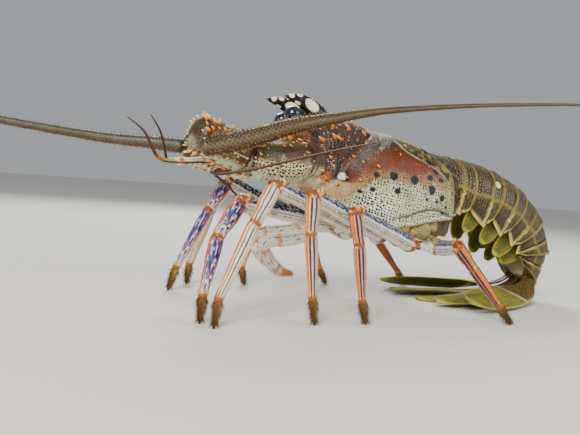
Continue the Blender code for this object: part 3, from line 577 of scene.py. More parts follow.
# %% The carapace's form
TRUNK = Matrix.Translation(mm(-56, 0, 86)) @ Matrix.Rotation(math.radians(6), 4, "Y")
TRUNK_TURN = TRUNK.to_3x3()
CARAPACE = Table((
    (0, 25, -7, 20), (3, 29, -11, 23), (9, 31.5, -15, 26), (18, 33, -20, 29), (28, 33, -24, 30.5),
    (36, 32, -27, 31.5), (42, 31, -29, 32.2), (46, 29.6, -30, 32.6), (50, 28.8, -31, 33), (54, 29.4, -31.6, 33.5),
    (60, 29.6, -32.5, 34), (68, 29.2, -33.6, 34.5), (76, 28.6, -34, 34.5), (84, 28, -33.6, 34.2),
    (90, 27.4, -33, 33.8), (96, 27, -32, 33), (100, 26.6, -31, 32.4), (103, 25.4, -29.5, 31),
))
LENGTH = 103
WAIST = -5
WAIST_TURN = 2 / 3
GROOVE = Table(((0, 45), (0.25, 37), (0.47, 23), (0.56, 17), (0.66, 13), (0.78, 9), (1, 4)))
BAND_FRONT = Table(((0, 57), (0.31, 60), (0.38, 67), (0.42, 77), (0.49, 88), (0.56, 94), (0.7, 98), (1, 100)))
HIND_EDGE = Table(((0, 82), (0.28, 84), (0.37, 91), (0.45, 96), (0.63, 98.5), (1, 101.5)))
SEAM = Table(((40, 0.985), (56, 0.89), (65, 0.845), (72, 0.80), (80, 0.77), (87, 0.765), (93, 0.78), (97, 0.80)))
MARGIN = Table(((46, 1.04), (56, 0.965), (66, 0.92), (74, 0.885), (82, 0.855), (90, 0.835), (97, 0.82), (103, 0.80)))
FLUSH_TOP = Table(((14, 0.68), (22, 0.68), (28, 0.655), (34, 0.61), (42, 0.575), (55, 0.55), (103, 0.545)))
FLUSH = Table(((14, 1.0), (22, 0.85), (28, 0.73), (34, 0.665), (42, 0.63), (55, 0.605), (75, 0.6), (103, 0.6)))


def bell(value, centre, width):
    return math.exp(-((value - centre) / width) ** 2)


def carapace_point(place, turn, out=0.0):
    """A point of the shell in the trunk's own frame, in mm: turn is 0 on the back, 1 at a lower edge."""
    top, low, half = CARAPACE.at(place)
    size = abs(turn)
    if size <= WAIST_TURN:
        angle = size / WAIST_TURN * math.pi / 2
        y = (half + out) * math.sin(angle) ** 0.92
        z = WAIST + (top + out - WAIST) * max(math.cos(angle), 0.0) ** 0.86
    else:
        drop = (size - WAIST_TURN) / (1 - WAIST_TURN)
        y = (half + out) * (1 - 0.1 * drop * drop)
        z = WAIST + (low - WAIST) * drop
    back = 3 * (place / LENGTH) ** 4 * size ** 2
    return Vector((place + back, math.copysign(y, turn), z))


def carapace_relief(place, turn):
    """How far the surface stands out of the plain form, in mm."""
    size = abs(turn)
    edge = HIND_EDGE.at(size)[0]
    relief = -1.5 * bell(place, GROOVE.at(size)[0], 2.2) * rise(size, 1.0, 0.9)
    relief += 0.35 * bell(place, GROOVE.at(size)[0] + 4.5, 2.5)
    relief -= 0.9 * bell(place, edge - 5.5, 1.3)
    relief += 0.45 * bell(place, edge - 2.0, 1.6)
    relief -= 1.1 * rise(place, edge - 0.4, edge + 0.6)
    margin = MARGIN.at(place)[0]
    relief += 0.7 * bell(size, margin - 0.015, 0.015) * rise(place, 44, 54)
    relief -= 4.5 * rise(size, margin, margin + 0.025) * rise(place, 46, 62)
    relief -= 0.8 * bell(size, SEAM.at(place)[0], 0.010) * rise(place, 50, 62)
    relief += 0.5 * bell(size, SEAM.at(place)[0] + 0.035, 0.02) * rise(place, 50, 62)
    relief += 0.5 * bell(size, 0.0, 0.03) * rise(place, 12, 25) * rise(place, 46, 40)
    bumps = noise.noise(Vector((place * 0.22, turn * 16, 3.1)))
    fine_bumps = noise.noise(Vector((place * 0.8, turn * 50, 7.7)))
    front = rise(place, GROOVE.at(size)[0] + 3, GROOVE.at(size)[0] - 3)
    return relief + (0.25 + 0.3 * front) * bumps + (0.1 + 0.16 * front) * fine_bumps


print("half width at the middle:", CARAPACE.at(50)[2], "mm")

# %% [markdown]
# The colours follow the photograph: rust on the back, paling to a greenish cream on the flanks that is
# dense with dark dots, plum and grey in front of the groove, orange over a cream cheek, and an olive band
# along the hind edge. Sixteen larger, nearly black spots lie on each flank. Each is a place on the shell.

# %% The carapace's colours
RUST = srgb(112, 54, 22)
# Deep rust is the shell's own dark colour at joints and under the hind band; on the top of the back and head it also
# stands for painted shade.
DEEP_RUST_AND_SHADE = srgb(48, 26, 15)
FLUSHED = srgb(154, 114, 68)
TAN = srgb(204, 166, 118)
FLANK = srgb(188, 196, 152)
FLANK_LOW = srgb(236, 236, 212)
FLANK_HIND = srgb(150, 146, 96)
PLUM = srgb(96, 76, 70)
CHEEK_ORANGE = srgb(184, 104, 46)
# Dark brown for the wall under the plate's rim, which is painted shade.
UNDER_RIM_SHADE = srgb(84, 70, 44)
FACE_BROWN = srgb(110, 70, 46)
FACE_DARK = srgb(52, 32, 26)
CREAM = srgb(238, 222, 176)
OLIVE = srgb(76, 72, 32)
DOWNY = srgb(98, 88, 72)
YELLOW_OLIVE = srgb(134, 124, 56)
DARK_OLIVE = srgb(50, 44, 20)
SPOT = srgb(10, 7, 8)
SPOTS = (
    (38, 0.61, 1.5), (50, 0.59, 2.4), (29, 0.76, 1.5), (37, 0.71, 1.7), (54, 0.68, 1.8), (65, 0.59, 2.5),
    (79, 0.63, 2.4), (76, 0.70, 1.1), (84, 0.70, 1.1), (88, 0.67, 1.7), (92.5, 0.73, 1.2), (90, 0.78, 1.1),
    (78, 0.40, 1.9), (82, 0.48, 1.7), (86, 0.545, 1.6), (77, 0.545, 1.9),
)
OVAL = (16, 0.66)
STREAK = Table(((0.4, 2), (0.54, 4), (0.57, 6), (0.6, 10), (0.7, 13)))
MM_A_TURN = 76


def spot_cover(place, turn):
    """1 inside a large dark spot, 0 outside, with a ragged edge."""
    cover = 0.0
    for spot_place, spot_turn, radius in SPOTS:
        away = math.hypot((place - spot_place) / 1.25, (abs(turn) - spot_turn) * MM_A_TURN)
        if away < radius * 2:
            away += 0.5 * noise.noise(Vector((place, turn * 60, 1.7)))
            cover = max(cover, rise(away, radius + 0.35, radius - 0.35))
    return cover


def carapace_colour(place, turn):
    size = abs(turn)
    wander = 0.05 * noise.noise(Vector((place * 0.12, turn * 7, 5.0)))
    level = size + wander
    groove = GROOVE.at(size)[0]
    edge = HIND_EDGE.at(size)[0]
    flush = FLUSH.at(place)[0]
    stipple = 0.04 * noise.noise(Vector((place * 1.1, turn * 70, 9.0)))
    # The back darkens towards its middle line: partly the shell's own deeper rust, partly painted shade on the top of
    # the back.
    colour = blend(DEEP_RUST_AND_SHADE, RUST, rise(size, 0.12, 0.5))
    top = FLUSH_TOP.at(place)[0]
    flushed = blend(TAN, FLUSHED, rise(place, 20, 36))
    colour = blend(colour, flushed, rise(level + stipple, top - 0.03, top + 0.03))
    colour = blend(colour, FLANK, rise(level + stipple, flush - 0.01, flush + 0.05))
    colour = blend(colour, FLANK_LOW, rise(level, flush + 0.06, flush + 0.2) * rise(place, 72, 40))
    colour = blend(colour, FLANK_HIND, 0.7 * rise(place, 80, 97))
    downy = bell(place, groove + 8, 7) * rise(size, 0.68, 0.55)
    colour = blend(colour, DOWNY, 0.8 * downy)
    lit = rise(level, flush - 0.09, flush + 0.02)
    speckle = 0.2 + 0.36 * lit * rise(place, 114, 84)
    speckle *= 1 + 0.55 * rise(level, flush + 0.05, flush + 0.16) * rise(place, 60, 38)
    flecks = 0.45 - 0.15 * rise(level, flush + 0.05, flush + 0.16) * rise(place, 60, 38)
    front = rise(place, groove + 1.5, groove - 1.5)
    head = blend(PLUM, CHEEK_ORANGE, rise(level, 0.63, 0.71))
    head = blend(head, CREAM, rise(level, 0.75, 0.83))
    head = blend(head, RUST, 0.7 * bell(size, 0.5 + 0.002 * place, 0.03))
    # The top of the head is darkened too: its own darker rust with painted shade on the top of the head.
    head = blend(head, DEEP_RUST_AND_SHADE, 0.5 * rise(size, 0.4, 0.2))
    head = blend(head, FACE_DARK, 0.6 * rise(place, 2.5, 0.5) * rise(size, 0.78, 0.7))
    colour = blend(colour, head, front)
    speckle += front * (0.1 + 0.5 * rise(level, 0.72, 0.55) - speckle)
    flecks += front * (0.2 + 0.6 * rise(level, 0.76, 0.62) - flecks)
    band = rise(place, BAND_FRONT.at(size)[0] - 2, BAND_FRONT.at(size)[0] + 2)
    blots = noise.noise(Vector((place * 0.45, turn * 22, 4.0)))
    olive = blend(OLIVE, YELLOW_OLIVE, rise(blots, 0.05, 0.3))
    olive = blend(olive, SPOT, 0.85 * rise(blots, -0.12, -0.3))
    colour = blend(colour, olive, band * 0.9)
    colour = blend(colour, FLANK_LOW, 0.5 * bell(place, BAND_FRONT.at(size)[0], 1.2) * rise(size, 0.6, 0.45))
    colour = blend(colour, FLANK, 0.5 * bell(place, edge - 1.2, 1.0))
    beyond = blend(DARK_OLIVE, YELLOW_OLIVE, 0.6 * rise(blots, 0.0, 0.3))
    colour = blend(colour, blend(beyond, DEEP_RUST_AND_SHADE, 0.6 * rise(-blots, 0.1, 0.3)), rise(place, edge - 0.2, edge + 0.8))
    seam = SEAM.at(place)[0]
    margin = MARGIN.at(place)[0]
    below = rise(size, margin, margin + 0.02) * rise(place, 46, 56)
    colour = blend(colour, FLANK_LOW, 0.6 * bell(size, margin - 0.015, 0.015) * rise(place, 50, 60))
    # Below the plate's rim the wall is painted dark brown: painted shade under the rim.
    colour = blend(colour, UNDER_RIM_SHADE, below)
    colour = blend(colour, SPOT, 0.95 * bell(size, seam, 0.008) * rise(place, 50, 62))
    # The groove between head and chest is painted darker: painted shade in the groove.
    colour = blend(colour, DEEP_RUST_AND_SHADE, 0.5 * bell(place, groove, 1.4))
    eye_ring = math.hypot((place - OVAL[0] - 0.8) / 1.25, (size - OVAL[1] + 0.004) * MM_A_TURN)
    colour = blend(colour, SPOT, 0.9 * rise(eye_ring, 4.2, 2.8))
    oval = math.hypot((place - OVAL[0]) / 1.25, (size - OVAL[1]) * MM_A_TURN)
    colour = blend(colour, FLANK_LOW, rise(oval, 1.9, 1.3))
    streak = place - STREAK.at(size)[0]
    colour = blend(colour, CREAM, 0.8 * bell(streak, 0, 0.7) * rise(size, 0.45, 0.5) * rise(size, 0.64, 0.6))
    colour = blend(colour, SPOT, spot_cover(place, turn))
    calm = (1 - 0.8 * below) * rise(oval, 1.3, 2.2)
    return colour, max(speckle, 0.0) * calm, max(flecks, 0.0) * calm


print("spots on each flank:", len(SPOTS))

# %% [markdown]
# The grid runs from the front edge to the hind edge and once round the section: over the back, and then
# under the body, where the plate's rolled lower edges meet the belly. The first and last rows shrink to
# a point, which closes both ends.

# %% The carapace's plate
OUTER_SHARE = 0.84
PLATE_ROWS = 190
PLATE_AROUND = 300
LIP_ROWS = ((0.995, 0.5), (0.975, 0.9), (0.94, 0.6), (0.86, -0.6), (0.45, -0.8), (0.0, -0.8))


def plate_section(place, turn):
    """The section's outline: over the back first, then back under the body."""
    if turn <= OUTER_SHARE:
        over = 2 * turn / OUTER_SHARE - 1
        return carapace_point(place, over, carapace_relief(place, over)), over
    share = 1 - 2 * (turn - OUTER_SHARE) / (1 - OUTER_SHARE)
    edge = carapace_point(place, 1)
    hollow = min(12, place * 0.4) * (1 - share * share)
    return Vector((edge.x, share * edge.y, edge.z + hollow)), 1


def plate_place(row, turn):
    lead = len(LIP_ROWS)
    if row < lead:
        shrink, push = LIP_ROWS[lead - 1 - row]
        place = 0
    elif row > lead + PLATE_ROWS:
        shrink, push = LIP_ROWS[row - lead - PLATE_ROWS - 1]
        place = LENGTH
    else:
        shrink, push = 1, 0
        place = (row - lead) / PLATE_ROWS * LENGTH
    point, _ = plate_section(place, turn)
    middle = Vector((point.x, 0, WAIST))
    point = middle + (point - middle) * shrink
    point.x += push * (-1 if row < lead else 1)
    return TRUNK @ (point * MM)


def plate_paint(row, turn, point):
    place = min(max((row - len(LIP_ROWS)) / PLATE_ROWS, 0), 1) * LENGTH
    if turn > OUTER_SHARE:
        return CREAM, 0.1
    return carapace_colour(place, 2 * turn / OUTER_SHARE - 1)


carapace = new_piece()
bent_grid(carapace, PLATE_ROWS + 2 * len(LIP_ROWS), PLATE_AROUND, plate_place, plate_paint, (LENGTH, 2 * MM_A_TURN + 62))
print("plate points:", len(carapace.verts))

# %% [markdown]
# Thorns stand on the front half in rows that run lengthwise, strongest near the eyes, and lower, blunter
# ones are scattered between them. All of them point forward, so that nothing can swallow the animal head
# first. The rows are the solid's own; the small ones are drawn at random, spaced evenly.

# %% The carapace's spines
SPINE_ROWS = (
    (0.0, ((24, 3.5), (35, 3.5), (62, 2.0), (80, 1.8))),
    (0.14, ((17, 5.5), (29, 4.5), (41, 3.6), (58, 2.4), (70, 2.2))),
    (0.27, ((12, 6.0), (23, 5.0), (34, 4.2), (45, 3.8), (64, 2.2), (78, 2.0))),
    (0.41, ((5, 6.0), (10, 6.0), (16, 5.5), (31, 3.8), (42, 3.4), (57, 2.2))),
    (0.54, ((8, 4.4), (22, 3.2), (30, 3.2), (40, 3.6))),
    (0.65, ((5, 6.0), (20, 3.0), (29, 2.8))),
    (0.78, ((8, 2.4), (14, 2.4))),
)
FRONT_ZONE = 10


def on_carapace(place, turn):
    """A point of the finished surface and the direction out of it."""
    here = carapace_point(place, turn, carapace_relief(place, turn))
    ahead = carapace_point(place + 1, turn) - carapace_point(place - 1, turn)
    round_about = carapace_point(place, turn + 0.02) - carapace_point(place, turn - 0.02)
    out = ahead.cross(round_about).normalized()
    if out.dot(Vector((0, here.y, here.z - WAIST))) < 0:
        out = -out
    return TRUNK @ (here * MM), TRUNK_TURN @ out


def set_carapace_spine(bm, model, place, turn, length, lean):
    point, out = on_carapace(place, turn)
    ahead = TRUNK_TURN @ Vector((-1, 0, 0))
    tip = point + (out * 0.8 + ahead * lean) * length * MM
    radius = (0.35 + length * 0.2) * MM
    set_model(bm, model, point - out * radius * 0.4, tip, radius, lean=ahead)


draw = random.Random(5)
for turn, row in SPINE_ROWS:
    for side in ((-1, 1) if turn else (1,)):
        for place, length in row:
            shift = draw.uniform(-1.2, 1.2)
            wander = draw.uniform(-0.015, 0.015)
            lean = 0.75 if place > FRONT_ZONE else 0.3
            set_carapace_spine(carapace, thorn, place + shift, side * (turn + wander),
                               length * draw.uniform(0.9, 1.15), lean)

CHEEK_BUMPS = ((1, 0.86, 1.5), (2.2, 0.80, 1.6), (3.6, 0.76, 1.4), (5, 0.82, 1.6), (6.5, 0.75, 1.2), (8.5, 0.79, 1.4),
               (10.5, 0.745, 1.2), (12, 0.80, 1.0), (3, 0.70, 1.4), (7, 0.70, 1.3), (19, 0.74, 1.2), (21, 0.79, 1.2),
               (24, 0.75, 1.0), (18, 0.81, 1.0))
bead = spine_model([srgb(170, 104, 50), srgb(232, 196, 120), srgb(250, 240, 208)], sides=7)
knob = spine_model([srgb(70, 40, 24), srgb(170, 104, 46), srgb(226, 176, 92), srgb(244, 220, 150)], sides=7)
small = 0
for step in range(16):
    for lane in range(-11, 12):
        place = 4 + step * 5.6 + draw.uniform(-2.2, 2.2)
        turn = lane * 0.058 + draw.uniform(-0.022, 0.022)
        size = abs(turn)
        if math.hypot(place - OVAL[0], (size - OVAL[1]) * MM_A_TURN) < 4:
            continue
        if draw.random() < 0.75 * rise(place, 36, 48):
            continue
        if place > BAND_FRONT.at(size)[0] - 2 or draw.random() < rise(size, 0.45, 0.7) * rise(place, 15, 30):
            continue
        length = draw.uniform(0.8, 1.5) * (1.25 - place / 110)
        set_carapace_spine(carapace, knob, place, turn, length, 0.6)
        small += 1
for place, turn, length in CHEEK_BUMPS:
    for side in (-1, 1):
        set_carapace_spine(carapace, bead, place, side * turn, length, 0.4)
print("small spines:", small)
finish_piece(carapace, "carapace_shell", shell, ["carapace"])

# %% [markdown]
# Pale tufts grow thickly all along the back of the groove, and shorter bristles stand along the olive band
# and in front of every larger spine. They lie back, the way water brushes over the animal.

# %% The carapace's bristles
def carapace_hair(coat, model, place, turn, length, lean, radius):
    point, out = on_carapace(place, turn)
    ahead = TRUNK_TURN @ Vector((-1, 0, 0))
    astray = Vector((draw.uniform(-0.4, 0.4), draw.uniform(-0.4, 0.4), draw.uniform(-0.2, 0.2)))
    tip = point + (out + ahead * lean + astray).normalized() * length * MM
    set_hair(coat, model, point - out * 0.2 * MM, tip, radius, 0, 1, (place / LENGTH, (turn + 1) / 2))


grey_bristle = bristle_model([srgb(110, 106, 100), srgb(184, 190, 194), srgb(226, 230, 234)])
shell_coat = new_coat()
for k in range(460):
    turn = draw.uniform(-0.63, 0.63)
    place = GROOVE.at(abs(turn))[0] + draw.uniform(1.5, 17 - 6 * abs(turn))
    for hair in range(7):
        at_place, at_turn = place + draw.uniform(-0.9, 0.9), turn + draw.uniform(-0.012, 0.012)
        length = draw.uniform(1.2, 2.8)
        carapace_hair(shell_coat, grey_bristle, at_place, at_turn, length, draw.uniform(-0.5, 0.9), 0.11)
for k in range(1600):
    turn = draw.uniform(-0.72, 0.72)
    size = abs(turn)
    front, back = BAND_FRONT.at(size)[0], HIND_EDGE.at(size)[0]
    place = draw.uniform(front, back - 1) if back > front + 2 else back - draw.uniform(1, 3)
    carapace_hair(shell_coat, bristle, place, turn, draw.uniform(0.5, 1.3), 0.5, 0.08)
for turn, row in SPINE_ROWS:
    for side in ((-1, 1) if turn else (1,)):
        for place, length in row:
            for k in range(6):
                at_place = place - draw.uniform(0.5, 1.5) - length * 0.25
                at_turn = side * turn + draw.uniform(-0.022, 0.022)
                carapace_hair(shell_coat, bristle, at_place, at_turn, draw.uniform(0.8, 1.6), 0.9, 0.08)
finish_piece(shell_coat, "carapace_bristles", bristle_finish)

# %% [markdown]
# ## Belly, face and mouth
# Under the plate lies the sternum, a narrow shield with one bar for each pair of legs. In front, the face
# is a rounded block that carries the fused first pieces of the antennae on both sides, four strong spines
# between the eyes, and the two hard jaws below. Tubes with elliptical sections serve for all of them.

# %% Sternum
STERNUM = Table(((10, 9, -10, 11), (24, 12, -10, 8), (44, 15, -10, 6), (66, 17, -10, 5), (86, 18, -10, 5),
                 (97, 16, -9, 6)))
STERNUM_ENDS = (10, 97)
LEG_ROOTS = {1: (20, 12.5), 2: (35, 14.5), 3: (51, 16), 4: (67, 16.5), 5: (83, 16)}


def round_share(turn):
    """How far a place lies round a limb: 0 on its upper side, 1 underneath."""
    return 1 - abs(1 - 2 * turn)


def ball(bm, centre, radius, colour, stretch=(1, 1, 1), turn=Matrix.Identity(4), dots=0.0, segments=20):
    """A closed, painted ball, stretched along the axes of its own turn. The radius is in mm."""
    tint = bm.verts.layers.float_color["tint"]
    speckle = bm.verts.layers.float["speckle"]
    place = Matrix.Translation(centre) @ turn @ Matrix.Diagonal((*stretch, 1))
    made = bmesh.ops.create_uvsphere(bm, u_segments=segments, v_segments=segments * 2 // 3,
                                     radius=radius * MM, matrix=place, calc_uvs=True)["verts"]
    for vert in made:
        shade = colour(place.inverted() @ vert.co / (radius * MM)) if callable(colour) else colour
        vert[tint] = (*shade, 1)
        vert[speckle] = dots
    return made


def sternum_place(row, turn):
    share = min(max((row - 3) / 60, 0), 1)
    place = STERNUM_ENDS[0] + (STERNUM_ENDS[1] - STERNUM_ENDS[0]) * share
    half, top, drop = STERNUM.at(place)
    base = CARAPACE.at(place)[1] + min(12, place * 0.4)
    high, deep = base - top * 0.2, base - 8 - drop
    shrink = min(row, 66 - row, 3) / 3
    angle = math.tau * turn
    bars = max(bell(place, LEG_ROOTS[number][0] - 7.5, 1.3) for number in LEG_ROOTS)
    inward = 0.9 * bars + 1.2 * bell(math.sin(angle), 0, 0.12)
    reach = (high - deep) / 2 - (inward if math.cos(angle) < 0 else 0)
    y = (half - 0.8 * bars) * math.sin(angle) * shrink
    z = (high + deep) / 2 + reach * math.cos(angle) * shrink
    return TRUNK @ (Vector((place, y, z)) * MM)


def sternum_paint(row, turn, point):
    return blend(CREAM, CHEEK_ORANGE, 0.35 + 0.4 * noise.noise(point / MM * 0.2)), 0.35


belly = new_piece()
bent_grid(belly, 66, 60, sternum_place, sternum_paint, (87, 70))
finish_piece(belly, "belly_plate", shell, ["sternum"])

# %% Face
FACE = Table(((-13, 9, -7, 13), (-9, 17, -8, 18), (-4, 22, -9, 21), (2, 22, -10, 22)))
ANTENNA_ROOT = (-58, -20, 89)
ANTENNA_ROOT_RADIUS = 11.5
FACE_SPINES = ((-9, 14, 4.5, 8.0), (-8, 9.5, 9.5, 4.5), (-12.5, 6, 3.0, 3.0))


def face_place(row, turn):
    share = min(max((row - 4) / 26, 0), 1)
    top, low, half = FACE.at(-13 + 15 * share)
    shrink = math.sin(math.pi / 2 * min(row, 4) / 4)
    push = -1.2 * math.cos(math.pi / 2 * min(row, 4) / 4)
    angle = math.tau * turn
    y = half * math.sin(angle) * shrink
    z = (top + low) / 2 + (top - low) / 2 * math.cos(angle) * shrink
    y += 0.35 * noise.noise(Vector((row * 0.3, turn * 9, 2)))
    return TRUNK @ (Vector((-13 + 15 * share + push, y, z)) * MM)


def face_paint(row, turn, point):
    level = round_share(turn)
    colour = blend(FACE_BROWN, CREAM, rise(level, 0.5, 0.8))
    marks = noise.noise(point / MM * 0.25)
    return blend(colour, FACE_DARK, rise(marks, 0.1, 0.4) * (1 - level)), 0.5


def root_paint(share, turn, point):
    level = round_share(turn)
    colour = blend(FACE_BROWN, PLUM, rise(level, 0.3, 0.5))
    colour = blend(colour, CREAM, rise(level, 0.55, 0.72))
    return blend(colour, FACE_DARK, 0.8 * bell(share, 0.92, 0.08)), 0.4


face = new_piece()
bent_grid(face, 30, 72, face_place, face_paint, (15, 110))
for side, sign in SIDES.items():
    x, y, z = ANTENNA_ROOT
    start, end = mm(x + 3, -sign * (y + 3), z), mm(x - 5, -sign * y, z)
    tube(face, Track((start, end)), lambda share: ANTENNA_ROOT_RADIUS * (0.9 + 0.1 * share) + 0.4 * bell(share, 0.85, 0.1),
         24, 60, root_paint, dome=0.15)
    for place, height, away, length in FACE_SPINES:
        root = TRUNK @ (Vector((place, sign * away, height)) * MM)
        ahead = TRUNK_TURN @ Vector((-0.77, sign * 0.12, 0.62)).normalized()
        set_model(face, thorn, root, root + ahead * length * MM, (0.5 + length * 0.2) * MM,
                  lean=TRUNK_TURN @ Vector((-1, 0, 0)))
    for number in range(5):
        angle = math.radians(20 + 34 * number)
        out = Vector((-0.3, sign * math.cos(angle), math.sin(angle)))
        root = end + Vector((0.0015, 0, 0)) + out * (ANTENNA_ROOT_RADIUS - 0.6) * MM
        set_model(face, thorn, root, root + (out * 0.6 + Vector((-0.8, 0, 0))) * 3.2 * MM, 1.1 * MM,
                  lean=Vector((-1, 0, 0)))
    jaw = TRUNK @ (Vector((-3, sign * 5.5, -12)) * MM)
    ball(face, jaw, 6.4, lambda where: blend(CREAM, FACE_DARK, rise(where.z, -0.1, -0.75)), (0.8, 0.95, 1.05))
lip = TRUNK @ (Vector((-9, 0, -7.5)) * MM)
ball(face, lip, 5, blend(CREAM, CHEEK_ORANGE, 0.4), (0.7, 1.5, 0.6), dots=0.4)
finish_piece(face, "face_shell", shell, ["face"])

# %% [markdown]
# ## Horns and eyes
# Two flat horns arch over the eyes like eyebrows. They are the animal's boldest marking: black and cream
# in large patches. Each eye is a glossy black dome on a short, banded stalk. The dome gets its own finish,
# because a wet, smooth surface is what makes an eye look alive.

# %% Horns
HORN_ROUTE = ((-43, -10, 110), (-50, -11, 117), (-58, -12, 122.5), (-66, -12.6, 125.5), (-75, -12.6, 126.5))
HORN_WIDTH = Table(((0, 6.5), (0.25, 6.3), (0.5, 5.0), (0.76, 3.2), (0.9, 1.7), (0.97, 0.75), (1, 0.3)))
HORN_BLACK = srgb(16, 12, 12)
HORN_CREAM = srgb(240, 226, 186)
HORN_PATCHES = ((0.52, 0.50, 0.13, 0.24), (0.75, 0.26, 0.05, 0.14), (0.885, 0.35, 0.045, 0.3),
                (0.645, 0.09, 0.03, 0.07), (0.38, 0.10, 0.035, 0.06), (0.15, 0.58, 0.045, 0.22),
                (0.29, 0.62, 0.03, 0.06), (0.76, 0.85, 0.05, 0.12))


def flipped(point, sign):
    """A place given for the left side in mm, on the side asked for."""
    return mm(point[0], -sign * point[1], point[2])


def horn_paint(share, turn, point):
    level = round_share(turn)
    cover = 0.0
    wander = 0.02 * noise.noise(point / MM * 0.5)
    for place, height, length, width in HORN_PATCHES:
        away = math.hypot((share + wander - place) / length, (level + wander * 2 - height) / width)
        cover = max(cover, rise(away, 1.15, 0.85))
    colour = blend(HORN_BLACK, HORN_CREAM, cover)
    colour = blend(colour, YELLOW_OLIVE, 0.7 * rise(share, 0.955, 0.99))
    return blend(colour, RUST, 0.8 * rise(share, 0.10, 0.02)), 0.0


horn_shell = shell_finish("horn_shell", roughness=0.34, coat=0.35, mottle=0.12)
for side, sign in SIDES.items():
    horn = new_piece()
    track = Track([flipped(point, sign) for point in HORN_ROUTE], up=(-0.3, 0, 1))
    tube(horn, track, lambda share: HORN_WIDTH.at(share)[0], 90, 64, horn_paint, 0.72,
         lambda share, turn: 0.18 * noise.noise(Vector((share * 22, turn * 8, sign))) + 0.3 * bell(turn, 0.5, 0.06))
    for number in range(5):
        share = 0.14 + 0.09 * number
        centre, way, up = track.at(share)
        lean = way.cross(up) * (0.25 if number % 2 else -0.25)
        root = centre + (up + lean) * (HORN_WIDTH.at(share)[0] - 0.8) * MM
        set_model(horn, thorn, root, root + (up * 0.5 + way * 0.6) * 2.2 * MM, 0.8 * MM, lean=way)
    finish_piece(horn, f"horn_{side}_shell", horn_shell, [f"horn_{side}"])

# %% Eyes
EYE_CENTRES = {"left": (-69, -13, 116), "right": (-63, 13, 114)}
EYE_RADIUS = 5.2
STALK_ROOT = (-60, -10.5, 104)
EYE_BLACK = srgb(8, 8, 11)
EYE_BLUE = srgb(26, 34, 52)

eye_finish = bpy.data.materials.new("eye")
eye_finish.use_nodes = True
tree = eye_finish.node_tree
shader = tree.nodes["Principled BSDF"]
shader.inputs["Coat Weight"].default_value = 1.0
shader.inputs["Coat Roughness"].default_value = 0.04
place = shader_node(tree, "ShaderNodeTexCoord")
facets = shader_node(tree, "ShaderNodeTexVoronoi")
facets.inputs["Scale"].default_value = 5200
cloud = shader_node(tree, "ShaderNodeTexNoise")
cloud.inputs["Scale"].default_value = 260
ramp = shader_node(tree, "ShaderNodeMix", data_type="RGBA")
ramp.inputs["A"].default_value = (*EYE_BLACK, 1)
ramp.inputs["B"].default_value = (*EYE_BLUE, 1)
bump = shader_node(tree, "ShaderNodeBump")
bump.inputs["Strength"].default_value = 0.25
bump.inputs["Distance"].default_value = 0.00003
gloss = shader_node(tree, "ShaderNodeMapRange")
gloss.inputs["To Min"].default_value = 0.08
gloss.inputs["To Max"].default_value = 0.2
for texture in (facets, cloud):
    tree.links.new(place.outputs["Object"], texture.inputs["Vector"])
tree.links.new(cloud.outputs["Fac"], ramp.inputs["Factor"])
tree.links.new(cloud.outputs["Fac"], gloss.inputs["Value"])
tree.links.new(gloss.outputs["Result"], shader.inputs["Roughness"])
tree.links.new(ramp.outputs["Result"], shader.inputs["Base Color"])
tree.links.new(facets.outputs["Distance"], bump.inputs["Height"])
tree.links.new(bump.outputs["Normal"], shader.inputs["Normal"])


def stalk_paint(share, turn, point):
    spots = noise.noise(point / MM * 0.9)
    colour = blend(FACE_BROWN, HORN_CREAM, rise(spots, 0.05, 0.25) * rise(share, 0.2, 0.5))
    return blend(colour, HORN_BLACK, rise(share, 0.86, 0.93)), 0.3


for side, sign in SIDES.items():
    centre = mm(*EYE_CENTRES[side])
    root = flipped(STALK_ROOT, sign)
    way = (centre - root).normalized()
    stalk = new_piece()
    tube(stalk, Track((root, centre - way * 1.5 * MM)), lambda share: 4.1 - 1.2 * bell(share, 0.45, 0.2) + 0.7 * share,
         30, 40, stalk_paint)
    finish_piece(stalk, f"eye_{side}_stalk", shell)
    globe = new_piece()
    lay = way.to_track_quat("Z", "Y").to_matrix().to_4x4()
    ball(globe, centre, EYE_RADIUS, EYE_BLACK, (1.0, 1.0, 0.94), lay, segments=48)
    finish_piece(globe, f"eye_{side}_globe", eye_finish, [f"eye_{side}"])

# %% [markdown]
# ## Antennae
# Behind each whip stand two stout, very spiny articles. They are tubes with a raised rim at each joint
# and rings of blunt thorns, brown above and cream with dark dots below, where a row of white teeth runs
# along each side. The whip itself is one long tube made of hundreds of short rings, with rows of tiny
# spines along its upper and lower edges. The left one is folded back over the body.

# %% Antenna articles
ANTENNA_JOINTS = {
    "left": ((-63, -20.5, 89), (-81, -23.5, 86), (-104, -26, 88.5), (-134, -29, 98)),
    "right": ((-63, 20.5, 89), (-79, 23, 86), (-97, 25, 88), (-120, 29, 93)),
}
ARTICLE_WIDTHS = (
    Table(((0, 10.4), (0.08, 11.2), (0.33, 12.0), (0.6, 11.4), (0.9, 10.8), (0.95, 11.3), (1, 10.2))),
    Table(((0, 9.6), (0.08, 10.4), (0.25, 10.8), (0.6, 10.6), (0.9, 9.9), (0.95, 10.3), (1, 9.0))),
)
ARTICLE_SPINES = (
    ((0.03, 14, 1.6), (0.16, 8, 1.6), (0.3, 5, 2.8), (0.5, 9, 1.8), (0.62, 7, 2.6), (0.75, 10, 1.8), (0.9, 9, 3.6),
     (0.97, 11, 2.2)),
    ((0.05, 13, 1.6), (0.16, 9, 1.6), (0.25, 9, 2.4), (0.37, 9, 3.0), (0.5, 11, 2.2), (0.62, 9, 3.6), (0.73, 12, 2.2),
     (0.83, 10, 3.4), (0.92, 11, 4.4), (0.97, 14, 2.6)),
)
ANTENNA_BROWN = srgb(104, 66, 36)
ANTENNA_OLIVE = srgb(88, 84, 42)
ANTENNA_PALE = srgb(236, 222, 172)
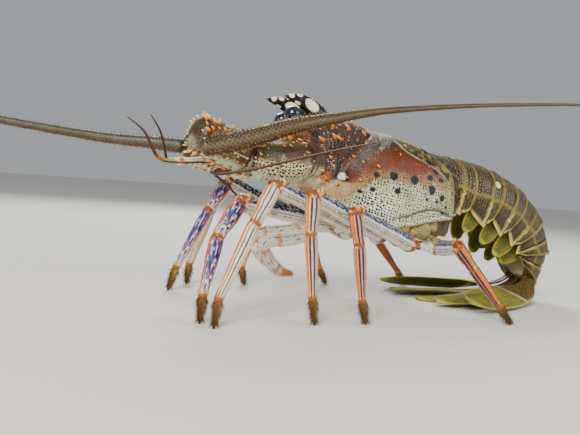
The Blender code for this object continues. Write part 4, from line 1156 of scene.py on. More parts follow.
MINT = srgb(214, 228, 196)
FLAGELLUM_ROUTES = {
    "left": ((-131, -37, 90.5), (-118, -41, 94), (-103, -44, 99), (-87, -46, 105), (-62, -46, 112),
             (-23, -44, 121), (39, -40, 131), (100, -35, 139), (160, -29, 146), (215, -22, 151)),
    "right": ((-124, 29.5, 93), (-140, 38, 94), (-169, 49, 95), (-230, 64, 101), (-295, 78, 110),
              (-360, 91, 121), (-425, 103, 134)),
}
FLAGELLUM_RADII = {
    "left": (5.2, 5.4, 5.0, 4.5, 3.3, 2.0, 1.35, 1.05, 0.8, 0.4),
    "right": (4.6, 3.9, 3.2, 2.3, 1.6, 1.1, 0.5),
}
whips = {side: Track([mm(*point) for point in route]) for side, route in FLAGELLUM_ROUTES.items()}


def whip_width(side):
    """The whip's half width by share of its length, from the radii at the points of its route."""
    track = whips[side]
    radii = FLAGELLUM_RADII[side]
    steps = (len(track.points) - 1) // (len(radii) - 1)
    return Table([(track.marks[i * steps] / track.length, radius) for i, radius in enumerate(radii)])


whip_widths = {side: whip_width(side) for side in SIDES}


def clear_of_whip(side, point, room):
    """Whether a place stands clear of the whip on this side by the room given in mm."""
    track, widths = whips[side], whip_widths[side]
    return all((point - track.at(k / 60)[0]).length > (widths.at(k / 60)[0] + room) * MM for k in range(30))


def article_paint(number):
    """Olive and brown above and cream below: the far article is dark nearly all round, its own olive-brown with painted
    shade on its underside.
    """
    # On the far article the pale underside starts lower and is dulled: partly its own olive-brown, partly painted
    # shade.
    start, end = ((0.42, 0.6), (0.62, 0.85))[number]

    def paint(share, turn, point):
        level = round_share(turn)
        marks = noise.noise(point / MM * 0.16)
        colour = blend(ANTENNA_BROWN, ANTENNA_OLIVE, rise(marks, -0.2, 0.35))
        pale = rise(level + 0.12 * marks, start, end) * (1 - 0.35 * number)
        colour = blend(colour, ANTENNA_PALE, pale)
        low = rise(level, 0.74, 0.82)
        colour = blend(colour, MINT, 0.8 * low * (1 - 0.5 * number))
        colour = blend(colour, DEEP_RUST_AND_SHADE, 0.8 * (bell(share, 0.97, 0.05) + bell(share, 0.02, 0.05)))
        return colour, 0.3 + 0.4 * pale * (1 - low), 0.45 + 0.1 * pale - 0.25 * low

    return paint


def article_relief(share, turn):
    ridge = 0.3 * max(math.cos(math.tau * turn * 7 + share * 2), 0) ** 4 * rise(share, 0.05, 0.2)
    return ridge + 0.22 * noise.noise(Vector((share * 9, turn * 12, 4))) - 0.5 * bell(share, 0.88, 0.025)


pale_thorn = spine_model([srgb(84, 44, 24), srgb(180, 96, 34), srgb(240, 196, 92), srgb(252, 244, 206)], sides=8)
white_tooth = spine_model([srgb(190, 168, 110), srgb(240, 226, 170), srgb(252, 248, 224)], sides=7)
for side, sign in SIDES.items():
    joints = [mm(*point) for point in ANTENNA_JOINTS[side]]
    for number, name in enumerate(("base", "tip")):
        start, end = (joints[0], joints[2]) if number == 0 else (joints[2], joints[3])
        route = [start, joints[1], end] if number == 0 else [start, start.lerp(end, 0.5), end]
        bm = new_piece()
        track = Track(route)
        widths = ARTICLE_WIDTHS[number]
        tube(bm, track, lambda share: widths.at(share)[0], 70, 96, article_paint(number), 1.0, article_relief, dome=0.3)
        for tooth in range(30):
            share = 0.08 + 0.86 * (tooth // 2) / 14
            centre, way, up = track.at(share)
            out = up * -0.3 + way.cross(up) * (1 if tooth % 2 else -1)
            root = centre + out.normalized() * (widths.at(share)[0] - 0.5) * MM
            tip = root + (out + way).normalized() * draw.uniform(1.8, 2.8) * MM
            if clear_of_whip(side, tip, 0.3):
                set_model(bm, white_tooth, root, tip, 0.8 * MM, lean=way)
        for share, count, length in ARTICLE_SPINES[number]:
            for k in range(count):
                angle = math.tau * (k + draw.uniform(-0.25, 0.25)) / count + share * 3
                where = share + draw.uniform(-0.04, 0.04)
                centre, way, up = track.at(where)
                out = up * math.cos(angle) + way.cross(up) * math.sin(angle)
                root = centre + out * (widths.at(where)[0] - 0.5) * MM
                reach = length * draw.uniform(0.8, 1.2)
                tip = root + (out * 0.85 + way * 0.75) * reach * MM
                if clear_of_whip(side, root, 0.6) and clear_of_whip(side, tip, 0.3):
                    set_model(bm, pale_thorn, root, tip, (0.4 + reach * 0.22) * MM, lean=way)
        finish_piece(bm, f"antenna_{side}_{name}_shell", shell, [f"antenna_{side}_{name}"])

# %% Antenna whips
WHIP_OLIVE = srgb(70, 58, 42)
WHIP_UNDER = srgb(84, 36, 22)
WHIP_TEAL = srgb(54, 66, 56)
WHIP_PALE = srgb(122, 104, 66)
RING_LENGTH = 1.1 * MM
WHIP_DOT_STEP = 2.6 * MM
spinule = spine_model([srgb(58, 42, 26), srgb(120, 96, 48), srgb(190, 176, 104)], sides=4)
SPINULE_ROWS = ((0.0, 1.5), (0.5, 1.2), (-0.5, 1.2), (0.95, 0.8), (-0.95, 0.8), (2.2, 0.8), (-2.2, 0.8), (2.7, 1.2),
                (-2.7, 1.2), (3.14, 1.5))


def whip_paint(side):
    base = WHIP_OLIVE if side == "left" else WHIP_TEAL

    def paint(share, turn, point):
        level = round_share(turn)
        colour = blend(base, WHIP_UNDER, rise(level, 0.62, 0.8))
        colour = blend(colour, WHIP_PALE, 0.5 * bell(level, 0.5, 0.10))
        ring = math.sin(math.tau * share * whips[side].length / WHIP_DOT_STEP)
        lane = math.cos(math.tau * turn * 11)
        dots = rise(ring * lane, 0.35, 0.7) * rise(level, 0.66, 0.5)
        colour = blend(colour, WHIP_PALE, 0.35 * rise(-ring * lane, 0.3, 0.8))
        return blend(colour, SPOT, dots), 0.2

    return paint


for side in SIDES:
    track, widths = whips[side], whip_widths[side]
    rows = round(track.length / RING_LENGTH * 2)
    bm = new_piece()
    tube(bm, track, lambda share: widths.at(share)[0], rows, 44, whip_paint(side), 1.0,
         lambda share, turn: -0.05 * widths.at(share)[0] * (round(share * rows) % 2))
    spots = int(track.length / (2.0 * MM))
    for k in range(spots):
        for angle, scale in SPINULE_ROWS:
            share = (k + draw.uniform(0.1, 0.9)) / spots
            half = widths.at(share)[0]
            if half < 1.4 and scale < 1:
                continue
            centre, way, up = track.at(share)
            angle += draw.uniform(-0.12, 0.12)
            out = up * math.cos(angle) + way.cross(up) * math.sin(angle)
            root = centre + out * half * 0.93 * MM
            reach = (0.45 + 0.22 * half) * scale * draw.uniform(0.8, 1.2)
            set_model(bm, spinule, root, root + (out * 0.7 + way * 0.6) * reach * MM, (0.1 + 0.06 * half) * MM)
    finish_piece(bm, f"whip_{side}", shell, [f"flagellum_{side}_near", f"flagellum_{side}_far"])

# %% [markdown]
# The antennules are the second, thin pair of feelers. Three smooth rods with orange joints carry two fine
# branches each. Rods and branches follow one line, and their colour changes along it.

# %% Antennules
ANTENNULE_STALKS = {
    "left": ((-66, -5, 92), (-98, -6.5, 87), (-135, -9, 83), (-149, -10.5, 84), (-158, -12, 97), (-168, -13, 104)),
    "right": ((-66, 5, 92), (-90, 5, 85), (-108, 1, 79), (-116, -8, 77.5), (-116, -24, 77), (-106, -38, 80),
              (-90, -43, 85), (-70, -45, 91), (-48, -46, 97), (-28, -46, 102)),
}
ANTENNULE_RADII = {
    "left": (2.4, 2.0, 1.7, 1.05, 0.7, 0.35),
    "right": (2.4, 2.2, 2.2, 1.2, 0.85, 0.8, 0.75, 0.7, 0.6, 0.35),
}
ANTENNULE_BRANCHES = {
    "left": ((-144, -9.6, 83.2), (-147, -13.5, 90), (-151, -17.5, 98), (-157, -19, 106)),
    "right": ((-110.5, 1.5, 76.4), (-106, -4, 72), (-101, -9, 66), (-95, -14, 57), (-88, -20, 46)),
}
BRANCH_RADII = (0.85, 0.7, 0.55, 0.3)
ROD_ENDS = {"left": 0.74, "right": 0.27}
ROD_JOINTS = {"left": (0.27, 0.625, 0.74), "right": (0.1, 0.18, 0.27)}
ROD_WHITE = srgb(244, 236, 204)
ROD_YELLOW = srgb(168, 128, 50)
ROD_DARK = srgb(66, 52, 34)
ROD_ORANGE = srgb(186, 84, 34)
BRANCH_DARK = srgb(64, 38, 26)
BRANCH_PALE = srgb(168, 136, 78)


def feeler(bm, route, radii, rod_end, joints=(), around=20):
    track = Track([mm(*point) for point in route])
    steps = (len(track.points) - 1) // (len(radii) - 1)
    widths = Table([(track.marks[i * steps] / track.length, radius) for i, radius in enumerate(radii)])

    def width(share):
        knot = max((bell(share, joint, 0.012) for joint in joints), default=0)
        return widths.at(share)[0] * (1 + 0.16 * knot)

    def paint(share, turn, point):
        knot = max((bell(share, joint, 0.014) for joint in joints), default=0)
        level = round_share(turn)
        colour = blend(ROD_WHITE, ROD_YELLOW, 0.85 * rise(share, joints[1] + 0.02, joints[1] + 0.04) if joints else 0)
        colour = blend(colour, ROD_DARK, rise(level, 0.5, 0.66))
        colour = blend(colour, ROD_ORANGE, min(knot, 1))
        ring = 0.5 + 0.5 * math.sin(share * track.length / MM * 3)
        thin = blend(BRANCH_DARK, BRANCH_PALE, 0.7 * ring * rise(level, 0.6, 0.3))
        return blend(colour, thin, rise(share, rod_end, rod_end + 0.03) if rod_end < 1 else 0), 0.25

    rows = round(track.length / (0.7 * MM))
    tube(bm, track, width, rows, around, paint)
    return track


for side in SIDES:
    bm = new_piece()
    feeler(bm, ANTENNULE_STALKS[side], ANTENNULE_RADII[side], ROD_ENDS[side], ROD_JOINTS[side])
    nodes = [f"antennule_{side}"]
    feeler(bm, ANTENNULE_BRANCHES[side], BRANCH_RADII, 0, (), 12)
    if side == "right":
        nodes.append("antennule_right_branch")
    finish_piece(bm, f"antennule_{side}_shell", shell, nodes)

# %% [markdown]
# ## Walking legs
# Each leg is a chain of closed barrels: hip, thigh, the long merus up to the knee, carpus, propodus and
# the pointed toe. The `up` direction of every barrel is the outer side of the knee's bend, so that the
# stripes run on from one article to the next. The front legs are blue and white, the hind ones peach.

# %% Leg colours
LEG_JOINTS = {
    ("left", 1): ((-48, -31, 53), (-113, -46, 62), (-127, -52, 44), (-135, -57, 14), (-137, -60, -1)),
    ("left", 2): ((-34, -35, 51), (-97, -54, 72), (-111, -62, 52), (-131, -69, 14), (-134, -72, -1)),
    ("left", 3): ((-16, -38, 47), (-77, -61, 68), (-80, -67, 48), (-78, -70, 14), (-76, -71, -1)),
    ("left", 4): ((5, -40, 42), (-51, -63, 60), (-50, -68, 43), (-48, -72, 13), (-45, -73, -1)),
    ("left", 5): ((30, -37, 40), (23, -64, 43), (30, -69, 32), (43, -81, 10), (49, -86, -1)),
    ("right", 1): ((-48, 31, 54), (-82, 46, 73), (-95, 47, 54), (-116, 46, 15), (-121, 46, -1)),
    ("right", 2): ((-34, 35, 52), (-80, 62, 71), (-88, 67, 50), (-98, 72, 14), (-99, 73, -1)),
    ("right", 3): ((-16, 38, 47), (-49, 62, 62), (-54, 65, 43), (-61, 67, 13), (-57, 68, -1)),
    ("right", 4): ((5, 40, 42), (-16, 63, 56), (-9, 67, 39), (5, 71, 12), (14, 75, -1)),
    ("right", 5): ((30, 37, 40), (38, 60, 50), (50, 64, 36), (76, 70, 11), (86, 73, -1)),
}
PEACH = srgb(222, 150, 82)
PALE_PEACH = srgb(240, 208, 150)
LEG_WHITE = srgb(240, 238, 222)
LEG_LILAC = srgb(176, 132, 150)
LEG_INDIGO = srgb(34, 32, 84)
LEG_BLUE = srgb(50, 60, 128)
LEG_PLUM = srgb(66, 26, 66)
LEG_ORANGE = srgb(214, 110, 34)
LEG_OLIVE = srgb(150, 138, 84)
LEG_OCHRE = srgb(150, 92, 38)
LEG_RED = srgb(120, 50, 32)
LEG_BASES = {2: srgb(240, 226, 188), 3: srgb(236, 196, 130), 4: srgb(222, 158, 92), 5: srgb(182, 116, 56)}
LINE_WIDTHS = {2: 0.045, 3: 0.062, 4: 0.07, 5: 0.07}
LEG_FLAT = 0.85
KNEE_BROWN = srgb(146, 84, 34)
TOE_BROWN = srgb(150, 100, 40)
TOE_YELLOW = srgb(224, 172, 78)


def stripes(level, marks, width):
    """How much of a dark stripe covers this place round the limb."""
    return max(rise(abs(level - mark), width, width * 0.55) for mark in marks)


def signed_share(turn):
    """-1 to 1 round a limb: 0 on its upper side, negative on one side, positive on the other."""
    return 2 * turn if turn <= 0.5 else 2 * turn - 2


def knee_colour(point):
    """The mottled brown of a joint, given its place in metres."""
    marks = noise.noise(point / MM * 0.42)
    colour = blend(KNEE_BROWN, LEG_RED, rise(marks, 0.0, 0.25))
    return blend(colour, PALE_PEACH, 0.8 * rise(marks, -0.18, -0.3))


def merus_paint(share, turn, point):
    level = round_share(turn)
    colour = blend(LEG_LILAC, LEG_WHITE, rise(level, 0.08, 0.12))
    band = max(rise(level, 0.08, 0.12) * rise(level, 0.48, 0.44), 0.8 * stripes(level, (0.66,), 0.05))
    dashes = noise.noise(Vector((share * 46, turn * 60, 1)))
    colour = blend(colour, LEG_PLUM, 0.9 * stripes(level, (0.56,), 0.028))
    colour = blend(colour, blend(PALE_PEACH, LEG_WHITE, 0.8), rise(level, 0.58, 0.6))
    rows_of_dashes = 0.5 + 0.5 * math.cos(turn * 34 * math.pi)
    inked = band * rise(dashes + 0.5 * rows_of_dashes, -0.2, 0.02)
    colour = blend(colour, blend(LEG_INDIGO, LEG_BLUE, 0.6 * rise(dashes, 0, 0.3)), inked)
    colour = blend(colour, LEG_RED, 0.7 * stripes(level, (0.75,), 0.026))
    colour = blend(colour, LEG_OLIVE, 0.4 * rise(level, 0.82, 0.92))
    colour = blend(colour, LEG_ORANGE, 0.6 * bell(level, 0.0, 0.06))
    ends = bell(share, 1.0, 0.05) + bell(share, 0.0, 0.04)
    return blend(colour, knee_colour(point), min(ends, 1)), 0.12


def carpus_paint(number):
    front = number == 1

    def paint(share, turn, point):
        level = abs(signed_share(turn)) + 0.015 * noise.noise(Vector((share * 7, turn * 3, number)))
        if front:
            streaks = noise.noise(Vector((share * 5, turn * 36, 8)))
            colour = blend(LEG_INDIGO, LEG_BLUE, rise(streaks, -0.25, 0.05))
            colour = blend(colour, LEG_LILAC, 0.85 * rise(streaks, -0.02, 0.25))
            marbling = noise.noise(Vector((share * 11, turn * 30, 4))) + 0.35 * rise(share, 0.5, 1.0)
            colour = blend(colour, LEG_WHITE, rise(marbling, 0.26, 0.42))
            colour = blend(colour, LEG_BASES[3], 0.6 * rise(share, 0.84, 0.97))
            colour = blend(colour, LEG_WHITE, rise(level, 0.72, 0.8))
            edge = bell(level, 0.03, 0.07) + bell(level, 0.72, 0.05)
            colour = blend(colour, LEG_ORANGE, min(edge, 1) * 0.9)
        else:
            line = LINE_WIDTHS[number]
            colour = blend(LEG_ORANGE, LEG_BASES[number], rise(level, 0.02, 0.12))
            colour = blend(colour, LEG_PLUM, stripes(level, (0.18,), line))
            colour = blend(colour, LEG_INDIGO, stripes(level, (0.38,), line * 1.2))
            colour = blend(colour, LEG_LILAC, 0.7 * stripes(level, (0.52,), 0.035))
            colour = blend(colour, LEG_ORANGE, 0.7 * bell(level, 0.72, 0.06))
            colour = blend(colour, LEG_PLUM, 0.8 * stripes(level, (0.86,), 0.04))
        ends = 0.8 * (bell(share, 1.0, 0.05) + bell(share, 0.0, 0.07))
        return blend(colour, knee_colour(point), min(ends, 1)), 0.12

    return paint


def thigh_paint(share, turn, point):
    level = round_share(turn)
    marks = noise.noise(point / MM * 0.3)
    colour = blend(LEG_OLIVE, LEG_WHITE, rise(level + 0.2 * marks, 0.3, 0.6))
    colour = blend(colour, LEG_INDIGO, 0.8 * stripes(level, (0.25,), 0.08) * rise(marks, -0.3, 0.1))
    ends = bell(share, 0.97, 0.07) + bell(share, 0.04, 0.07)
    return blend(colour, KNEE_BROWN, min(ends, 1)), 0.4


def toe_paint(share, turn, point):
    level = round_share(turn)
    colour = blend(TOE_BROWN, TOE_YELLOW, 0.7 * rise(level, 0.3, 0.6))
    colour = blend(colour, LEG_RED, 0.6 * rise(math.sin(share * 52), 0.3, 0.9) * rise(share, 0.08, 0.16))
    colour = blend(colour, SPOT, 0.5 * rise(share, 0.2, 0.6))
    return blend(colour, SPOT, 0.8 * rise(share, 0.78, 0.9)), 0.2


print("leg colours ready")

# %% [markdown]
# Every barrel is a little wider just before its ends, where the shell is thickened into a rim, and a dark
# ball of joint skin shows in the gap. Thorns guard the knee, and the toe ends in a horny point between
# brushes of bristles. Points that would sink below the floor are lifted to it.

# %% Legs
MERUS_WIDTH = Table(((0, 4.3), (0.05, 4.9), (0.12, 5.1), (0.5, 4.7), (0.82, 4.2), (0.93, 4.9), (1, 4.2)))
CARPUS_WIDTH = Table(((0, 3.7), (0.12, 4.3), (0.45, 4.6), (0.8, 3.7), (0.92, 3.9), (1, 3.3)))
PROPODUS_WIDTH = Table(((0, 3.2), (0.06, 3.9), (0.4, 3.7), (0.88, 2.6), (0.95, 2.8), (1, 2.4)))
TOE_WIDTH = Table(((0, 2.1), (0.12, 2.3), (0.5, 1.65), (0.8, 1.05), (1, 0.5)))
COXA_WIDTH = Table(((0, 5.8), (0.3, 6.7), (0.8, 6.6), (0.93, 7.0), (1, 6.0)))
ISCHIUM_WIDTH = Table(((0, 5.2), (0.12, 5.9), (0.5, 5.4), (0.88, 5.6), (1, 4.8)))


def barrel(bm, start, end, widths, up, paint, rows=44, around=40, relief=None, dome=0.35):
    """A closed article of a limb, painted by share along it and turn round it."""
    track = Track((start, end), up)
    tube(bm, track, lambda share: widths.at(share)[0], rows, around, paint, LEG_FLAT, relief, dome)
    return track


def ridges(share, turn):
    """Two faint keels along an article's upper edges."""
    level = abs(signed_share(turn))
    return 0.22 * bell(level, 0.1, 0.05) - 0.12 * bell(level, 0.32, 0.12)


HIP_KNOBS = {4: ((-1, 1, 5.5),), 5: ((-2, 6, 6.5), (5.5, 4, 4.5), (-8, 5, 4))}


def hip_paint(where):
    """A hip's plates: olive with an orange rim above, and darker towards the bottom as painted shade."""
    colour = blend(LEG_OLIVE, KNEE_BROWN, 0.5 * rise(math.sin(where.z * 9 + where.x * 4), 0.1, 0.7))
    # Darker towards the bottom: painted shade under the plate's rim.
    return blend(colour, FACE_DARK, 0.7 * rise(where.z, -0.35, -0.8))


def leg_root(side, number):
    place, half = LEG_ROOTS[number]
    height = CARAPACE.at(place)[1] + min(12, place * 0.4) - 10
    return TRUNK @ (Vector((place, SIDES[side] * half, height)) * MM)


leg_thorn = spine_model([srgb(120, 58, 24), srgb(214, 132, 44), srgb(246, 214, 130), srgb(252, 244, 210)], sides=7)
dark_bristle = bristle_model([srgb(40, 28, 16), srgb(76, 54, 26), srgb(120, 92, 46)])


leg_coat = new_coat()
for tile, (side, number) in enumerate(LEG_JOINTS):
    elbow, knee, wrist, ankle, toe = [mm(*point) for point in LEG_JOINTS[side, number]]
    root = leg_root(side, number)
    middle = root.lerp(elbow, 0.42)
    bm = new_piece()
    barrel(bm, root + (root - elbow) * 0.3, middle, COXA_WIDTH, (0, 0, 1), thigh_paint)
    barrel(bm, root.lerp(elbow, 0.44), elbow, ISCHIUM_WIDTH, (0, 0, 1), thigh_paint)
    track = barrel(bm, elbow, knee, MERUS_WIDTH, (0, 0, 1), merus_paint, 80, 56, ridges)
    for joint, radius in ((middle, 5.2), (elbow, 4.7), (knee.lerp(elbow, -0.01), 3.9)):
        ball(bm, joint, radius, lambda where: knee_colour(joint + where * radius * MM), segments=16)
    for place_step, drop, radius in HIP_KNOBS.get(number, ()):
        place = LEG_ROOTS[number][0] + place_step
        edge = carapace_point(place, MARGIN.at(place)[0], -5.5)
        hip = TRUNK @ (Vector((place, SIDES[side] * abs(edge.y), edge.z - drop)) * MM)
        ball(bm, hip, radius, hip_paint, (1.0, 0.8, 1.15), dots=0.0, segments=24)
    for share, lean, length in ((0.93, 0.55, 4.2), (0.93, -0.55, 3.8), (0.72, 0.0, 3.0), (0.94, 0.0, 2.6),
                                (0.95, 1.3, 2.2), (0.95, -1.3, 2.2), (0.5, 0.1, 1.4), (0.3, -0.1, 1.2)):
        centre, way, up = track.at(share)
        out = (up + way.cross(up) * lean).normalized()
        foot = centre + out * (MERUS_WIDTH.at(share)[0] - 0.9) * MM
        tip = foot + (out * 0.7 + way * 0.8) * length * MM
        set_model(bm, leg_thorn, foot, tip, (0.4 + 0.24 * length) * MM, lean=way)
    finish_piece(bm, f"leg_{side}_{number}_upper_shell", shell, [f"leg_{side}_{number}_upper"])

    bend = (knee - elbow).normalized() - (ankle - wrist).normalized()
    bm = new_piece()
    barrel(bm, knee, wrist, CARPUS_WIDTH, bend, carpus_paint(number), 50, 56, ridges)
    barrel(bm, wrist, ankle, PROPODUS_WIDTH, bend, carpus_paint(number), 60, 56, ridges)
    toe_track = barrel(bm, ankle, toe, TOE_WIDTH, bend, toe_paint, 40, 40)
    for joint, radius in ((wrist, 3.2), (ankle, 2.5)):
        ball(bm, joint, radius, KNEE_BROWN, segments=16)
    for k in range(280):
        share = 0.02 + 0.8 * (k // 20 + draw.uniform(0.1, 0.9)) / 14
        angle = k * 2.4
        centre, way, up = toe_track.at(share)
        out = up * math.cos(angle) + way.cross(up) * math.sin(angle) * LEG_FLAT
        foot = centre + out * (TOE_WIDTH.at(share)[0] - 0.15) * MM
        tip = foot + (out * 0.8 + way * 0.9) * draw.uniform(1.6, 3.3) * MM
        set_hair(leg_coat, dark_bristle, foot, tip, 0.16, tile, 4, (share, angle / math.tau))
    lift_to_floor(bm)
    finish_piece(bm, f"leg_{side}_{number}_lower_shell", shell, [f"leg_{side}_{number}_lower"])
lift_to_floor(leg_coat)
finish_piece(leg_coat, "toe_bristles", bristle_finish)

# %% [markdown]
# The third pair of mouth legs is folded under the head like a pair of arms. They are thick, white and
# dotted with blue, and the last article is an orange brush.

# %% Mouth legs
MAXILLIPEDS = {
    "left": ((-40, -6, 57), (-50, -11, 45), (-66, -15, 41), (-82, -16, 38.5), (-80, -15, 30), (-72, -13, 22),
             (-60, -10, 19)),
    "right": ((-40, 6, 57), (-49, 11, 46), (-62, 14, 43), (-76, 14, 41), (-76, 12, 33), (-69, 11, 25),
              (-59, 9, 21)),
}
MAXILLIPED_RADII = (3.4, 4.0, 4.4, 3.9, 3.4, 3.0, 1.0)
ARM_JOINTS = (0.18, 0.50, 0.66, 0.83)


def arm_paint(share, turn, point):
    level = abs(signed_share(turn))
    dots = noise.noise(Vector((share * 60, turn * 22, 3)))
    rows_of_dots = max(bell(level, 0.3, 0.05), bell(level, 0.5, 0.05))
    colour = blend(LEG_WHITE, LEG_BLUE, rise(dots, 0.1, 0.25) * rows_of_dots)
    colour = blend(colour, PALE_PEACH, rise(level, 0.7, 0.95))
    joint = max(bell(share, joint, 0.02) for joint in ARM_JOINTS)
    colour = blend(colour, LEG_ORANGE, 0.8 * joint)
    return blend(colour, LEG_ORANGE, rise(share, 0.84, 0.9)), 0.1


def arm_relief(share, turn):
    return -0.5 * max(bell(share, joint, 0.012) for joint in ARM_JOINTS) + 0.3 * max(
        bell(share, joint - 0.025, 0.012) for joint in ARM_JOINTS)


mouth_coat = new_coat()
for tile, side in enumerate(SIDES):
    track = Track([mm(*point) for point in MAXILLIPEDS[side]])
    steps = (len(track.points) - 1) // (len(MAXILLIPED_RADII) - 1)
    widths = Table([(track.marks[i * steps] / track.length, radius) for i, radius in enumerate(MAXILLIPED_RADII)])
    bm = new_piece()
    tube(bm, track, lambda share: widths.at(share)[0], 150, 48, arm_paint, 0.75, arm_relief)
    for k in range(420):
        share = 0.68 + 0.31 * (k / 420)
        angle = k * 2.39996
        centre, way, up = track.at(share)
        out = up * math.cos(angle) + way.cross(up) * math.sin(angle) * 0.75
        foot = centre + out * (widths.at(share)[0] - 0.2) * MM
        tip = foot + (out * 0.7 + way * 0.9) * draw.uniform(1.4, 2.8) * MM
        set_hair(mouth_coat, bristle, foot, tip, 0.11, tile, 2, (share, angle / math.tau))
    finish_piece(bm, f"mouth_leg_{side}", shell, [f"maxilliped_{side}"])
finish_piece(mouth_coat, "mouth_leg_bristles", bristle_finish)

# %% [markdown]
# ## The tail
# The tail is a chain of six hoops, each one a wedge between two planes that lean more and more, which is
# what curls it under the body. A hoop's section runs over the back from one hanging side flap to the
# other, and returns inside. Each flap ends in a backward tooth, and a furrow with a line of hair crosses
# each back.

# %% The tail's form
TAIL_START = mm(49.5, 0, 100.6)
SEGMENTS = ((20, -5, 27.5), (26, -12, 29), (27, -24, 28.5), (28, -40, 27), (30, -64, 25), (30, -108, 22.5))
PLANE_TILTS = (-6, -8, -17, -31, -51, -84, -135)
TAIL_TAPER = (0.80, 0.97, 1.0, 0.98, 0.94, 0.86, 0.70)
HOOP = Table(((0, 0.955, 0.60), (0.12, 0.985, 0.76), (0.35, 1.0, 0.92), (0.5, 0.99, 0.99), (0.64, 1.0, 1.04),
              (0.7, 1.0, 1.02), (0.77, 1.0, 0.86), (0.83, 1.0, 0.85), (0.9, 1.008, 0.74), (1, 1.02, 0.64)))
BACK_DEPTH = 22
PLEURON_DEPTH = 43
FIRST_SINK = 0.15
FLAP_START = 0.62


def direction(tilt):
    """The directions along and down from the back of the tail at a slope in degrees."""
    slope = math.radians(tilt)
    return (Vector((math.cos(slope), 0, math.sin(slope))), Vector((math.sin(slope), 0, -math.cos(slope))))


planes = [(TAIL_START, PLANE_TILTS[0])]
for (length, tilt, half), next_tilt in zip(SEGMENTS, PLANE_TILTS[1:]):
    planes.append((planes[-1][0] + direction(tilt)[0] * length * MM, next_tilt))


def hoop_relief(number, share, across_share):
    size = abs(across_share)
    relief = -0.9 * bell(share, 0.5, 0.03) * rise(size, 0.98, 0.8) * (0.35 + 0.65 * rise(size, 0.05, 0.16))
    relief += 0.25 * bell(share, 0.43, 0.03) + 0.35 * bell(share, 0.58, 0.04)
    relief += 0.45 * bell(share, 0.95, 0.03) - 0.35 * bell(share, 0.885, 0.02)
    relief += 0.4 * bell(size, 0.66, 0.02) * rise(share, 0.05, 0.25)
    relief -= 0.4 * bell(size, 0.78, 0.04) * rise(share, 0.15, 0.4) * rise(share, 0.8, 0.6)
    return relief + 0.22 * noise.noise(Vector((share * 5 + number * 9, across_share * 9, 6)))


def hoop_frame(number, share):
    (start, start_tilt), (end, end_tilt) = planes[number], planes[number + 1]
    place = share * (1 + FIRST_SINK) - FIRST_SINK if number == 0 else share
    length, tilt, half = SEGMENTS[number]
    point = start.lerp(end, place) - direction(tilt)[1] * math.sin(math.pi * max(place, 0)) * 1.2 * MM
    taper = TAIL_TAPER[number] + (TAIL_TAPER[number + 1] - TAIL_TAPER[number]) * place
    down = direction(start_tilt + (end_tilt - start_tilt) * place)[1]
    return point, down, half * taper, taper


def on_hoop(number, share, across_share, out=0.0):
    """A point of a hoop's outer side: across_share runs from one flap's tip (-1) to the other's (1)."""
    point, down, half, taper = hoop_frame(number, share)
    size_scale, tooth = HOOP.at(share)
    relief = hoop_relief(number, share, across_share) + out
    wide = half * size_scale + relief
    back = BACK_DEPTH * taper
    edge = back + (PLEURON_DEPTH * taper - back) * tooth
    raised = (1 - size_scale) * back - relief
    size = abs(across_share)
    if size <= FLAP_START:
        angle = size / FLAP_START * math.pi / 2
        y = wide * math.sin(angle)
        depth = back - (back - raised) * max(math.cos(angle), 0.0) ** 0.9
    else:
        part = (size - FLAP_START) / (1 - FLAP_START)
        y = wide * (1 - 0.15 * part ** 1.6)
        depth = back + (edge - back) * part
    return point + Vector((0, math.copysign(y, across_share), 0)) * MM + down * depth * MM


def in_hoop(number, share, turn):
    """A point of a hoop's inner side: turn runs from the right flap's tip to the left one's."""
    point, down, half, taper = hoop_frame(number, share)
    size_scale, tooth = HOOP.at(share)
    back = BACK_DEPTH * taper
    edge = back + (PLEURON_DEPTH * taper - back) * tooth
    wide = half * size_scale
    route = Table(((0, 0.85, edge), (0.14, 0.80, (back + edge) / 2), (0.27, 0.68, back + 1.5), (0.4, 0.3, back - 1)))
    part, sign = (turn, 1) if turn < 0.5 else (1 - turn, -1)
    if part <= 0.4:
        away, depth = route.at(part)
    else:
        away, depth = 0.3 * (0.5 - part) / 0.1, back - 1
    return point + Vector((0, sign * away * wide, 0)) * MM + down * depth * MM


print("tail ends at", [round(value, 3) for value in planes[-1][0]])

# %% [markdown]
# The hoops are nearly black-green with brown clouds and small pale flecks. Their hind rims and the flaps'
# teeth are yellow-olive, and two pairs of pale, dark-ringed spots sit on the second and the last hoop.

# %% Tail hoops
TAIL_DARK = srgb(26, 22, 12)
TAIL_OLIVE = srgb(62, 58, 22)
TAIL_BROWN = srgb(76, 38, 16)
TAIL_RIM = srgb(142, 122, 44)
TAIL_TOOTH = srgb(214, 194, 104)
PALE_SPOT = srgb(238, 226, 172)
TAIL_SPOTS = {1: (0.70, 0.47, 2.6), 5: (0.40, 0.42, 2.4)}
HOOP_ROWS = 56
HOOP_AROUND = 220
HOOP_OUTER = 0.7
HOOP_LIPS = (0.0, 0.9, 0.985)


